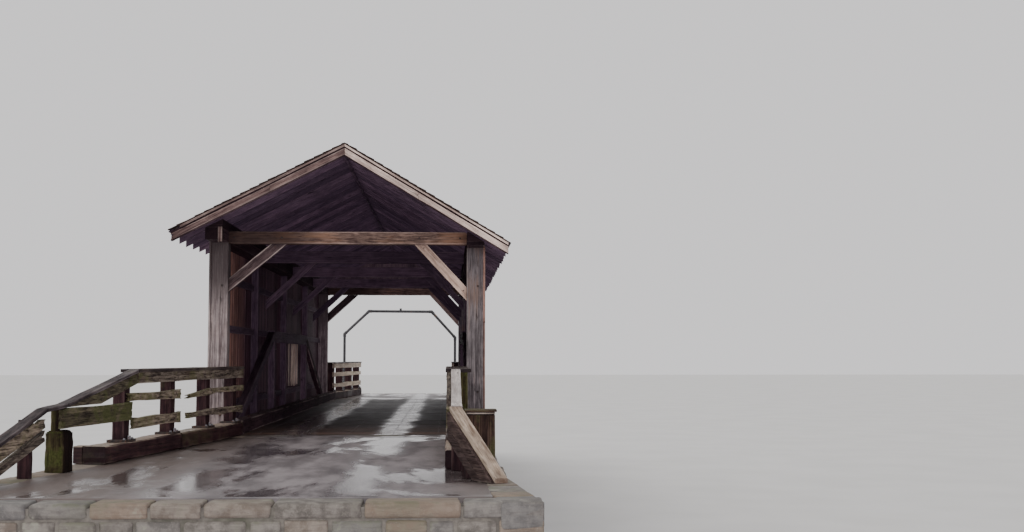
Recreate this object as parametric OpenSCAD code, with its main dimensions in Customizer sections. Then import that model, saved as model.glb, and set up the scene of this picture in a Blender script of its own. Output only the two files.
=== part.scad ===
// Timber covered bridge on stone abutments: queen-post trusses under a gable
// roof, open portals, plank railings along the approaches.
// Millimetres. X runs across the road, +Y along it, +Z up.
// Origin: middle of the footprint, on the ground under the abutments.

/* [Span] */
// Length between the outer faces of the two portals
span = 19500; // [17000:250:20500]
// Clear width between the portal posts
clear_w = 4200; // [3900:50:4600]
// Height of the road deck above the lowest ground
deck_z = 2400; // [1800:50:3200]
// Length of the near approach, down to the end of its longer railing
approach_l = 10800; // [10500:50:11200]
// Length of the far approach
far_l = 7100; // [6800:50:7400]

/* [Frame] */
// Size of the square portal posts
post = 300; // [240:10:340]
// Height of the portal tie beam's underside above the deck
tie_z = 3360; // [3200:10:3600]
// Depth of the tie beams
tie_h = 220; // [160:10:260]
// Depth of the lower chords
chord_h = 350; // [300:10:400]
// Thickness of the truss timbers and wall posts, each half of the wall
truss_t = 150; // [120:10:150]
// Height of the straining beam's top above the deck
truss_h = 1950; // [1700:10:2200]

/* [Roof] */
// Height of the ridge above the deck
ridge_h = 5040; // [4900:10:5300]
// Rise over run of the left roof slope, in percent
slope_l = 51; // [48:1:56]
// Rise over run of the right roof slope, in percent: the eave has sagged
slope_r = 60; // [56:1:62]
// Half width of the left slope, ridge to eave tip
eave_l = 2960; // [2800:10:3000]
// Half width of the right slope, ridge to eave tip
eave_r = 2845; // [2750:5:2900]
// Overhang of the roof past each portal
gable_over = 950; // [700:10:1100]
// Thickness of the roof skin: skip sheathing and shakes together
skin_t = 60; // [50:5:80]
// Depth of the rafters
rafter_h = 150; // [120:10:160]
// Number of rafter pairs
rafter_n = 36; // [24:2:40]

/* [Railings] */
// Height of the railing cap's top above the road
cap_z = 1200; // [1050:10:1250]
// Height of the curb timbers
curb_h = 230; // [180:10:280]
// How far the near left railing flares out for each 1000 along the road
flare_nl = 125; // [80:5:135]
// How far the foot of the near right railing turns out
flare_nr = 560; // [300:10:560]
// How far the far left railing turns in for each 1000 along the road
turn_fl = 105; // [0:5:110]

/* [Windows] */
// Start of the side windows along the road, from mid-span
win_y = 1150; // [500:10:1300]
// Length of the side windows
win_l = 2500; // [1800:50:2600]
// Sill height of the side windows above the deck
win_z = 700; // [600:10:800]
// Height of the side windows
win_h = 980; // [800:10:1000]

/* [Hidden] */
$fn = 48;

half = span / 2;
in_x = clear_w / 2;             // inner face of posts, trusses and chords
out_x = in_x + post;            // outer face of posts
mid_x = in_x + truss_t;         // between truss timbers and wall posts
bay = span / 4;                 // spacing of the bents
fbay = span / 6;                // spacing of the floor beams
deck_t = 75;
beam_h = 300;                   // floor beams and bearing timbers
seat_z = deck_z - chord_h - beam_h;
seat_in = 1200;                 // depth of the bridge seat
side_t = 30;                    // siding boards
rail_t = 65;                    // railing boards
post_r = 220;                   // railing posts
ref_l = 1800;                   // road side of the left boards at a portal
ref_r = 1755;                   // road side of the near right boards
edge_r = 2450;                  // right face of the near wing wall
u_out = 438;                    // left wing wall, out from its railing boards
tl = slope_l / 100;
tr = slope_r / 100;
// the left wing sets one side of the footprint, the right eave the other
left_end = ref_l + flare_nl * approach_l / 1000 + u_out;
ox = (left_end - eave_r) / 2;
oy = (approach_l - far_l) / 2;

grey = "#8d857c";
dark = "#4a3f3c";
moss = "#7b7d62";
stone = "#8b8780";
steel = "#2e2e33";

// the bridge is drawn about the middle of its span, with the deck at z = 0
module at_deck() translate([ox, oy, deck_z]) children();

module box(x0, x1, y0, y1, z0, z1)
    translate([x0, y0, z0]) cube([x1 - x0, y1 - y0, z1 - z0]);
// outline in X and Z, drawn out along Y
module along_y(y0, y1) translate([0, y1, 0]) rotate([90, 0, 0]) linear_extrude(y1 - y0) children();
// outline in Y and Z, drawn out along X
module along_x(x0, x1) translate([x0, 0, 0]) rotate([90, 0, 90]) linear_extrude(x1 - x0) children();
module both_sides() { children(); mirror([1, 0, 0]) children(); }
module both_ends() { children(); mirror([0, 1, 0]) children(); }

// ---- roof heights: underside of the skin and of the rafters at a distance
// from the ridge, for a slope t
function skin_v(t) = skin_t * sqrt(1 + t * t);
function raft_v(t) = rafter_h * sqrt(1 + t * t);
function skin_under(x, t) = ridge_h - skin_v(t) - x * t;
function raft_under(x, t) = skin_under(x, t) - raft_v(t);

// ---- abutments ----------------------------------------------------------
// each is one mass: the breast wall with the bridge seat, and the filled wings
module seat() translate([ox - 2800, oy - half - 400, 0]) cube([5600, 400 + seat_in, seat_z]);
module near_abutment() color(stone) {
    translate([ox, oy, 0]) linear_extrude(deck_z) polygon([
        [-(ref_l + 320), -half], [-(ref_l + 320), -half - 600],
        [-(ref_l + u_out + 0.6 * flare_nl), -half - 600],
        [-left_end, -half - approach_l], [edge_r + 250, -half - approach_l],
        [edge_r, -half - 8140], [edge_r, -half - 600],
        [ref_r + 365, -half - 600], [ref_r + 365, -half]]);
    seat();
}
module far_abutment() color(stone) {
    translate([ox, oy, 0]) linear_extrude(deck_z) polygon([
        [-2120, half], [-2120, half + 600], [-2270, half + 600], [-2270, half + far_l],
        [2300, half + far_l], [2300, half + 600], [2120, half + 600], [2120, half]]);
    translate([0, 2 * oy, 0]) mirror([0, 1, 0]) seat();
}

// ---- floor --------------------------------------------------------------
module bearing_timbers() color(dark) at_deck() both_ends()
    box(-2600, 2600, -half + 150, -half + 750, -chord_h - beam_h, -chord_h);
module floor_beams() color(dark) at_deck() for (k = [1:5])
    box(-2600, 2600, -half + k * fbay - 130, -half + k * fbay + 130, -chord_h - beam_h, -chord_h);
module lower_chords() color(dark) at_deck() both_sides()
    box(in_x, out_x, -half, half, -chord_h, 0);
module stringers() color(dark) at_deck() for (x = [-1600:800:1600])
    box(x - 75, x + 75, -half, half, -chord_h, -deck_t);
module deck() color(dark) at_deck() box(-in_x, in_x, -half, half, -deck_t, 0);
module wheel_guards() color(dark) at_deck() both_sides()
    box(in_x - 250, in_x, -half, half, 0, 250);

// ---- side frames --------------------------------------------------------
plate_l = tie_z + 20;           // underside of the left wall plate
plate_r = tie_z - 60;           // the right one sits lower
module portal_posts() color(grey) at_deck() both_ends() {
    box(-out_x, -in_x, -half, -half + post, 0, plate_l);
    box(in_x, out_x, -half, -half + post, 0, plate_r);
}
q = span / 3;                   // queen posts stand a third of the way in
module queen_posts() color(dark) at_deck() both_sides() both_ends()
    box(in_x, mid_x, -half + q - 100, -half + q + 100, 0, truss_h);
module straining_beams() color(dark) at_deck() both_sides()
    box(in_x, mid_x, -half + q + 100, half - q - 100, truss_h - 250, truss_h);
module truss_braces() color(dark) at_deck() both_sides() both_ends()
    along_x(in_x, mid_x) polygon([[-half + 750, 0], [-half + 1480, 0],
        [-half + q - 100, truss_h - 270], [-half + q - 100, truss_h]]);
module wall_posts() color(dark) at_deck() for (k = [1:3]) {
    box(-out_x, -mid_x, -half + k * bay - 90, -half + k * bay + 90, 0, plate_l);
    box(mid_x, out_x, -half + k * bay - 90, -half + k * bay + 90, 0, plate_r);
}
// nailers for the siding, between the posts
module girt_row(y0, y1) both_sides() for (z = [420, 1820, 2750])
    box(out_x - 60, out_x, y0, y1, z, z + 140);
module girts() color(dark) at_deck() {
    for (k = [1:2]) girt_row(-half + k * bay + 90, -half + (k + 1) * bay - 90);
    both_ends() girt_row(-half + post, -half + bay - 90);
}
// plates with the top cut to the roof slope
module wall_plates() color(dark) at_deck() {
    along_y(-half - 620, half + 620) polygon([[-out_x, plate_l], [-in_x, plate_l],
        [-in_x, raft_under(in_x, tl)], [-out_x, raft_under(out_x, tl)]]);
    along_y(-half - 620, half + 620) polygon([[out_x, plate_r], [in_x, plate_r],
        [in_x, raft_under(in_x, tr)], [out_x, raft_under(out_x, tr)]]);
}
module tie_beams() color(grey) at_deck() {
    both_ends() box(-in_x, in_x, -half + 20, -half + 270, tie_z, tie_z + tie_h);
    for (k = [1:3]) box(-in_x, in_x, -half + k * bay - 90, -half + k * bay + 90, tie_z, tie_z + tie_h + 30);
}
// the left brace meets its post at its own height, and the right one lower
module brace_pair(y0, y1, h, foot, reach) {
    along_y(y0, y1) polygon([[-in_x, foot], [-in_x, foot + h], [-reach - h * 1.08, tie_z], [-reach, tie_z]]);
    along_y(y0, y1) polygon([[in_x, 2360], [in_x, 2360 + h], [1155 + h * 1.06, tie_z], [1155, tie_z]]);
}
module knee_braces() color(grey) at_deck() {
    brace_pair(-half + 60, -half + 180, 240, 2510, 1100);
    brace_pair(half - 180, half - 60, 300, 2480, 1140);
    for (k = [1:3]) brace_pair(-half + k * bay - 60, -half + k * bay + 60, k == 3 ? 220 : 190, 2370, 1030);
}
// boards that close the far gable, nailed outside its tie beam and cut around
// the ridge board; the near gable is open
module far_gable() color(grey) at_deck() along_y(half - 20, half + 5) polygon([
    [-in_x, tie_z], [in_x, tie_z], [in_x, raft_under(in_x, tr)], [out_x, raft_under(out_x, tr)],
    [out_x, skin_under(out_x, tr)], [20, skin_under(20, tr)], [20, raft_under(20, tr) - 20],
    [-20, raft_under(20, tr) - 20], [-20, skin_under(20, tl)], [-out_x, skin_under(out_x, tl)],
    [-out_x, raft_under(out_x, tl)], [-in_x, raft_under(in_x, tl)]]);

// ---- roof ---------------------------------------------------------------
ry0 = -half - gable_over + 45;  // first fly rafter, behind the rake board
rstep = (2 * (half + gable_over) - 90 - 50) / (rafter_n - 1);
module rafters() color(dark) at_deck() for (i = [0:rafter_n - 1]) {
    y = ry0 + i * rstep;
    along_y(y, y + 50) polygon([[-20, skin_under(20, tl)], [-20, raft_under(20, tl)],
        [-(eave_l - 50), raft_under(eave_l - 50, tl)], [-(eave_l - 50), skin_under(eave_l - 50, tl)]]);
    along_y(y, y + 50) polygon([[20, skin_under(20, tr)], [20, raft_under(20, tr)],
        [eave_r - 45, raft_under(eave_r - 45, tr)], [eave_r - 45, skin_under(eave_r - 45, tr)]]);
}
module ridge_board() color(dark) at_deck()
    box(-20, 20, ry0, -ry0, raft_under(20, tr) - 20, skin_under(20, tr));
module roof_side(x, t) along_y(-half - gable_over, half + gable_over)
    polygon([[0, ridge_h], [0, ridge_h - skin_v(t)],
        [x, ridge_h - skin_v(t) - abs(x) * t], [x, ridge_h - abs(x) * t]]);
module left_roof() color(grey) at_deck() roof_side(-eave_l, tl);
module right_roof() color(grey) at_deck() roof_side(eave_r, tr);
// broad bargeboards under the skin at the gable, mitred at the ridge
module rake_boards() {
    b = 45;
    d = 185;                    // plumb depth
    along_y(-half - gable_over, -half - gable_over + b) {
        polygon([[0, skin_under(0, tl)], [0, skin_under(0, tl) - d],
            [-(eave_l - 45), skin_under(eave_l - 45, tl) - d], [-(eave_l - 45), skin_under(eave_l - 45, tl)]]);
        polygon([[0, skin_under(0, tr)], [0, skin_under(0, tr) - d],
            [eave_r - 40, skin_under(eave_r - 40, tr) - d], [eave_r - 40, skin_under(eave_r - 40, tr)]]);
    }
}
module near_rake_boards() color(grey) at_deck() rake_boards();
module far_rake_boards() color(grey) at_deck() mirror([0, 1, 0]) rake_boards();

// ---- siding -------------------------------------------------------------
// vertical boards from the chord's underside to the underside of the rafters
module siding(s, top) difference() {
    along_x(s > 0 ? out_x : -out_x - side_t, s > 0 ? out_x + side_t : -out_x)
        polygon([[-half, -chord_h], [half, -chord_h], [half, top], [-half, top]]);
    box(s * (out_x + 15) - 60, s * (out_x + 15) + 60, win_y, win_y + win_l, win_z, win_z + win_h);
}
module left_siding() color(grey) at_deck() siding(-1, raft_under(out_x + side_t, tl));
module right_siding() color(grey) at_deck() siding(1, raft_under(out_x + side_t, tr));
// upright slats nailed close together inside the window openings
slats = [for (i = [0:7]) [0.065 + 0.124 * i, 270 - 12 * (i % 3)]];   // [place, width]
module window_slats() color(grey) at_deck() both_sides() for (w = slats)
    box(out_x - 30, out_x, win_y + w[0] * win_l - w[1] / 2, win_y + w[0] * win_l + w[1] / 2, 580, 1810);

// ---- approach railings --------------------------------------------------
// a straight stretch of railing from p to q, given as [distance in front of
// the portal, distance from the centre line] of the boards' road side; the
// children are outlines in (distance from the portal, height), drawn from
// u0 to u1 outward
module stretch(p, q, u0, u1) {
    a = atan2(q[1] - p[1], q[0] - p[0]);
    translate([p[1], -half - p[0], 0]) rotate([0, 0, a])
        translate([u0, 0, 0]) mirror([0, 1, 0]) rotate([90, 0, 90]) linear_extrude(u1 - u0)
            translate([-p[0], 0]) children();
}
p1 = 5150;                      // end of the level stretch
$p2 = 7320;                     // foot of the first slope
$p3 = 8090;                     // start of the second slope
c2 = 815;                       // cap heights there
$c3 = 795;
cap_t = 50;
// cap height at d, for a cap that comes down to height e at distance p4
function cap_top(d, p4, e) = d < p1 ? cap_z : d < $p2 ? cap_z + (c2 - cap_z) * (d - p1) / ($p2 - p1)
    : d < $p3 ? c2 + ($c3 - c2) * (d - $p2) / ($p3 - $p2)
    : $c3 + (e - $c3) * (d - $p3) / (p4 - $p3);
// a strip that follows the cap line, from top to top + depth below it
module band(d0, d1, top, depth, p4, e) polygon([
    [d0, cap_top(d0, p4, e) - top], [d1, cap_top(d1 - 0.01, p4, e) - top],
    [d1, cap_top(d1 - 0.01, p4, e) - top - depth], [d0, cap_top(d0, p4, e) - top - depth]]);
module strip(d0, d1, z0, z1) polygon([[d0, z0], [d1, z0], [d1, z1], [d0, z1]]);

module level_boards() {
    strip(0, p1 - 6, cap_z - cap_t - 150, cap_z - cap_t);
    strip(0, p1 - 40, 720, 880);
    strip(0, p1 - 20, 365, 530);
}
module slope_boards(p4, e, n, s) {
    polygon([[p1 + 6, cap_z - cap_t], [p1 + 6, cap_z - cap_t - 150], [6420, 776], [6950, 776],
        [6950, cap_top(6950, p4, e) - cap_t]]);
    polygon([[s, 515], [s, 762], [7060, 770], [$p2, c2 - cap_t - 4], [n, c2 - cap_t - 20], [n, 515]]);
}
module foot_boards(p4, e, n) {
    band($p3 + 12, n, cap_t, 170, p4, e);
    band($p3 + 12, n - 320, cap_t + 195, 130, p4, e);
}
module post_shape(d, z0, w, top) polygon([[d - w / 2, z0], [d + w / 2, z0], [d + w / 2, top], [d - w / 2, top]]);

// near left: one straight line out to the end of the approach
nl0 = [0, ref_l];
nl1 = [approach_l, ref_l + flare_nl * approach_l / 1000];
nl_end = approach_l - 180;
nl_p2 = 7470;                   // its first slope is longer
nl_p3 = 8050;
nl_c3 = 777;
module near_left_curb() color(moss) at_deck() mirror([1, 0, 0]) {
    stretch(nl0, nl1, -10, 295) strip(0, 6300, 0, curb_h);
    stretch(nl0, nl1, 295, 415) strip(6050, 6300, 0, curb_h);    // cross timber at its end
}
// the middle rails are in two lengths, and the ones by the portal have sagged
// and broken off short of their post
module near_left_rails() color(moss) at_deck() mirror([1, 0, 0])
    stretch(nl0, nl1, 0, rail_t, $p2 = nl_p2, $p3 = nl_p3, $c3 = nl_c3) {
        strip(0, p1 - 6, cap_z - cap_t - 150, cap_z - cap_t);
        polygon([[0, 773], [1900, 755], [3020, 730], [3020, 790], [1900, 868], [0, 880]]);
        polygon([[0, 390], [3020, 430], [3020, 520], [1900, 537], [0, 530]]);
        polygon([[3320, 737], [5450, 768], [5450, 880], [3320, 885]]);
        polygon([[3320, 383], [5305, 392], [5305, 552], [3320, 555]]);
        slope_boards(nl_end, 60, 7590, 5330);
        foot_boards(nl_end, 60, nl_end - 700);
    }
module near_left_cap() color(grey) at_deck() mirror([1, 0, 0]) {
    stretch(nl0, nl1, -15, 260) strip(0, p1, cap_z - cap_t, cap_z);
    stretch(nl0, nl1, -15, 125, $p2 = nl_p2, $p3 = nl_p3, $c3 = nl_c3) {
        band(p1 + 4, $p2 - 2, 0, cap_t, nl_end, 60);
        band($p2 + 2, $p3 - 2, 0, cap_t, nl_end, 60);
        band($p3 + 2, nl_end, 0, cap_t, nl_end, 60);
    }
}
module near_left_rail_posts() color(moss) at_deck() mirror([1, 0, 0])
    stretch(nl0, nl1, rail_t, rail_t + 165, $p2 = nl_p2, $p3 = nl_p3, $c3 = nl_c3) {
        for (d = [310, 1820, 3530]) post_shape(d, curb_h, 220, cap_z - cap_t);
        post_shape(5380, curb_h, 220, cap_top(5490, nl_end, 60) - cap_t);
        post_shape(8270, 0, 60, cap_top(8300, nl_end, 60) - cap_t);
        post_shape(9450, 0, 200, cap_top(9550, nl_end, 60) - cap_t);
    }
// near right: parallel to the road, then its foot turns out
nr0 = [0, ref_r];
nr1 = [$p3, ref_r];
nr_end = $p3 + 1120;
nr2 = [nr_end, ref_r + flare_nr];
module near_right_curb() color(moss) at_deck()
    stretch(nr0, nr1, -10, post_r + rail_t + 10) strip(0, 7180, 0, curb_h);
module near_right_rails() color(moss) at_deck() {
    stretch(nr0, nr1, 0, rail_t) {
        level_boards();
        slope_boards(nr_end, 50, 7560, p1 + 60);
    }
    stretch(nr1, nr2, 0, rail_t) foot_boards(nr_end, 50, $p3 + 780);
}
module near_right_cap() color(grey) at_deck() {
    stretch(nr0, nr1, -15, 340) strip(0, p1, cap_z - cap_t, cap_z);
    stretch(nr0, nr1, 60, 190) {
        band(p1 + 4, $p2 - 2, 0, cap_t, nr_end, 50);
        band($p2 + 2, $p3 - 110, 0, cap_t, nr_end, 50);
    }
    stretch(nr1, nr2, 40, 200) band($p3 + 2, nr_end, 0, cap_t, nr_end, 50);
}
module near_right_rail_posts() color(moss) at_deck() {
    stretch(nr0, nr1, rail_t, rail_t + post_r + 10)
        for (d = [310, 1820, 3530, 5030]) post_shape(d, curb_h, 220, cap_z - cap_t);
    stretch(nr0, nr1, rail_t, rail_t + 140) post_shape(7300, 0, 160, cap_top(7380, nr_end, 50) - cap_t);
    stretch(nr1, nr2, rail_t, rail_t + 130) post_shape($p3 + 330, 0, 120, cap_top($p3 + 390, nr_end, 50) - cap_t);
}
// at the foot of the near railings' first slope: a stout round-topped log with
// a board on it on the left, a plank box with a lid on the right
module end_boxes() color(moss) at_deck() {
    mirror([1, 0, 0]) stretch(nl0, nl1, 20, 260) strip(7220, 7520, 0, 495);
    mirror([1, 0, 0]) stretch(nl0, nl1, 100, 200) strip(7430, 7490, 495, 750);
    box(1990, 2325, -half - 8020, -half - 7570, 0, 700);
    box(1968, 2350, -half - 8045, -half - 7545, 700, 750);
}
// far side: level railings only
fl0 = [0, 1900];
fl1 = [p1 + 50, 1900 - turn_fl * (p1 + 50) / 1000];
fr1 = [p1 + 50, 1900];
module far_side(side) at_deck() mirror([side < 0 ? 1 : 0, 0, 0]) mirror([0, 1, 0]) children();
module far_curb(a, b) stretch(a, b, -10, post_r + rail_t + 10) strip(0, p1 + 50, 0, curb_h);
module far_rails(a, b) stretch(a, b, 0, rail_t) level_boards();
module far_cap(a, b) stretch(a, b, -15, 300) strip(0, p1, cap_z - cap_t, cap_z);
module far_posts(a, b) stretch(a, b, rail_t, rail_t + post_r)
    for (d = [310, 1820, 3530, 5030]) post_shape(d, curb_h, 220, cap_z - cap_t);
module far_left_curb() color(moss) far_side(-1) far_curb(fl0, fl1);
module far_right_curb() color(moss) far_side(1) far_curb(fl0, fr1);
module far_left_rails() color(moss) far_side(-1) far_rails(fl0, fl1);
module far_right_rails() color(moss) far_side(1) far_rails(fl0, fr1);
module far_left_cap() color(grey) far_side(-1) far_cap(fl0, fl1);
module far_right_cap() color(grey) far_side(1) far_cap(fl0, fr1);
module far_left_rail_posts() color(moss) far_side(-1) far_posts(fl0, fl1);
module far_right_rail_posts() color(moss) far_side(1) far_posts(fl0, fr1);

// ---- clearance frame: octagonal pipe hoop over the far road --------------
cf_r = 50;
cf_y = half + 6500;
cf_l = 2080;                    // legs, each side of the centre line
cf_w = 2030;
module pipe(a, b) {
    d = b - a;
    translate([a[0], cf_y, a[1]]) rotate([0, atan2(d[0], d[1]), 0]) cylinder(r = cf_r, h = norm(d));
}
module clearance_frame() color(steel) at_deck() {
    pts = [[-cf_l, 0], [-cf_l, 2220], [-cf_l + 900, 3070], [cf_w - 875, 3055], [cf_w, 2090], [cf_w, 0]];
    for (i = [0:4]) pipe(pts[i], pts[i + 1]);
    for (i = [1:4]) translate([pts[i][0], cf_y, pts[i][1]]) sphere(r = cf_r + 9);  // elbow fittings
}

near_abutment();
far_abutment();
bearing_timbers();
floor_beams();
lower_chords();
stringers();
deck();
wheel_guards();
portal_posts();
queen_posts();
straining_beams();
truss_braces();
wall_posts();
girts();
wall_plates();
tie_beams();
knee_braces();
far_gable();
rafters();
ridge_board();
left_roof();
right_roof();
near_rake_boards();
far_rake_boards();
left_siding();
right_siding();
window_slats();
near_left_curb();
near_right_curb();
far_left_curb();
far_right_curb();
near_left_rail_posts();
near_right_rail_posts();
far_left_rail_posts();
far_right_rail_posts();
near_left_rails();
near_right_rails();
far_left_rails();
far_right_rails();
near_left_cap();
near_right_cap();
far_left_cap();
far_right_cap();
end_boxes();
clearance_frame();
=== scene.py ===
import math
import bpy
import mathutils
import numpy as np
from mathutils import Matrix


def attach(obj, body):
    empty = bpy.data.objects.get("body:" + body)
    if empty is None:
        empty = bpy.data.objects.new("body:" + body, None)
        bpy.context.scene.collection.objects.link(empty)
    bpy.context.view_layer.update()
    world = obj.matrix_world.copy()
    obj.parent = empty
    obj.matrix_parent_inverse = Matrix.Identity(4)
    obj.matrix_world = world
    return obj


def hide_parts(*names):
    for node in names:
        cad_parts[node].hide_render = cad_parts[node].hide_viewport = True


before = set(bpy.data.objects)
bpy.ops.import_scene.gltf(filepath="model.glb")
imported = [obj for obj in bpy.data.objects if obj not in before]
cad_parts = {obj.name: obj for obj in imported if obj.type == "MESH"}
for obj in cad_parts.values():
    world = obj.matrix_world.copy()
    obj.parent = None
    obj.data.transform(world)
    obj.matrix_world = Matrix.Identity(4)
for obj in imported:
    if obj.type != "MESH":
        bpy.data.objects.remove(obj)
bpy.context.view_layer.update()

# Bridge coordinates, in metres: X across the road from its centre line, Y along
# it from mid-span, Z up from the deck. They sit in the frame at (OX, OY, DZ).
OX, OY, DZ = 0.3715, 1.85, 2.4
HALF, INX, OUTX, MIDX = 9.75, 2.1, 2.4, 2.25
RIDGE, TL, TR, EAVE_L, EAVE_R, OVER = 5.04, 0.51, 0.60, 2.96, 2.845, 0.95
TIE_Z, PLATE_L, PLATE_R = 3.36, 3.38, 3.30
SKIN, RAFT = 0.06, 0.15
P1, P2, P3, CAP_Z, CAP_T, CURB = 5.15, 7.32, 8.09, 1.2, 0.05, 0.23
REF_L, REF_R, FLARE_L, WING = 1.8, 1.755, 0.125, 0.438
LP2, LP3, LC3 = 7.47, 8.05, 0.777       # the near left railing's own slope
APPROACH, FAR = 10.8, 7.1


# ---------------------------------------------------------------- materials
class Shade:
    """A short way to write a node tree."""

    def __init__(s, name):
        s.mat = bpy.data.materials.new(name)
        s.mat.use_nodes = True
        s.tree = s.mat.node_tree
        s.tree.nodes.clear()
        s.out = s.tree.nodes.new("ShaderNodeOutputMaterial")
        s.bsdf = s.tree.nodes.new("ShaderNodeBsdfPrincipled")
        s.tree.links.new(s.bsdf.outputs[0], s.out.inputs[0])

    def put(s, socket, x):
        if isinstance(x, bpy.types.NodeSocket):
            s.tree.links.new(x, socket)
        elif x is not None:
            socket.default_value = x

    def node(s, kind, out=0, **ins):
        n = s.tree.nodes.new(kind)
        for k, v in ins.items():
            if k.startswith("_"):
                setattr(n, k[1:], v)
        for k, v in ins.items():
            if not k.startswith("_"):
                s.put(n.inputs[int(k[1:])] if k[0] == "i" and k[1:].isdigit() else n.inputs[k], v)
        return n.outputs[out]

    def m(s, op, a, b=0.0, c=None, clamp=False):
        n = s.tree.nodes.new("ShaderNodeMath")
        n.operation, n.use_clamp = op, clamp
        s.put(n.inputs[0], a)
        s.put(n.inputs[1], b)
        if c is not None:
            s.put(n.inputs[2], c)
        return n.outputs[0]

    def ramp(s, x, lo, hi, a=0.0, b=1.0):
        n = s.tree.nodes.new("ShaderNodeMapRange")
        n.interpolation_type = "SMOOTHSTEP"
        for i, v in enumerate((x, lo, hi, a, b)):
            s.put(n.inputs[i], v)
        return n.outputs[0]

    def mix(s, f, a, b, mode="MIX"):
        n = s.tree.nodes.new("ShaderNodeMix")
        n.data_type, n.blend_type = "RGBA", mode
        s.put(n.inputs[0], f)
        s.put(n.inputs[6], a if isinstance(a, bpy.types.NodeSocket) else (*a, 1.0))
        s.put(n.inputs[7], b if isinstance(b, bpy.types.NodeSocket) else (*b, 1.0))
        return n.outputs[2]

    def comb(s, x, y, z):
        return s.node("ShaderNodeCombineXYZ", i0=x, i1=y, i2=z)

    def sep(s, v):
        n = s.tree.nodes.new("ShaderNodeSeparateXYZ")
        s.put(n.inputs[0], v)
        return n.outputs[0], n.outputs[1], n.outputs[2]

    def attr(s, name):
        n = s.tree.nodes.new("ShaderNodeAttribute")
        n.attribute_name = name
        return s.sep(n.outputs["Vector"])

    def noise(s, vec, scale=1.0, detail=3.0, rough=0.5, warp=0.0):
        n = s.tree.nodes.new("ShaderNodeTexNoise")
        s.put(n.inputs["Vector"], vec)
        n.inputs["Scale"].default_value = scale
        n.inputs["Detail"].default_value = detail
        n.inputs["Roughness"].default_value = rough
        n.inputs["Distortion"].default_value = warp
        return n.outputs[0]

    def cells(s, vec, scale, feature="F1", out=0):
        n = s.tree.nodes.new("ShaderNodeTexVoronoi")
        n.feature = feature
        s.put(n.inputs["Vector"], vec)
        n.inputs["Scale"].default_value = scale
        return n.outputs[out]

    def place(s):
        return s.tree.nodes.new("ShaderNodeNewGeometry").outputs["Position"]

    def up(s):
        return s.sep(s.tree.nodes.new("ShaderNodeNewGeometry").outputs["Normal"])[2]

    def bump(s, height, strength=0.5, distance=0.004):
        n = s.tree.nodes.new("ShaderNodeBump")
        n.inputs["Strength"].default_value = strength
        n.inputs["Distance"].default_value = distance
        s.put(n.inputs["Height"], height)
        s.put(s.bsdf.inputs["Normal"], n.outputs[0])

    def done(s, colour, rough):
        s.put(s.bsdf.inputs["Base Color"], colour)
        s.put(s.bsdf.inputs["Roughness"], rough)
        return s.mat


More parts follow.
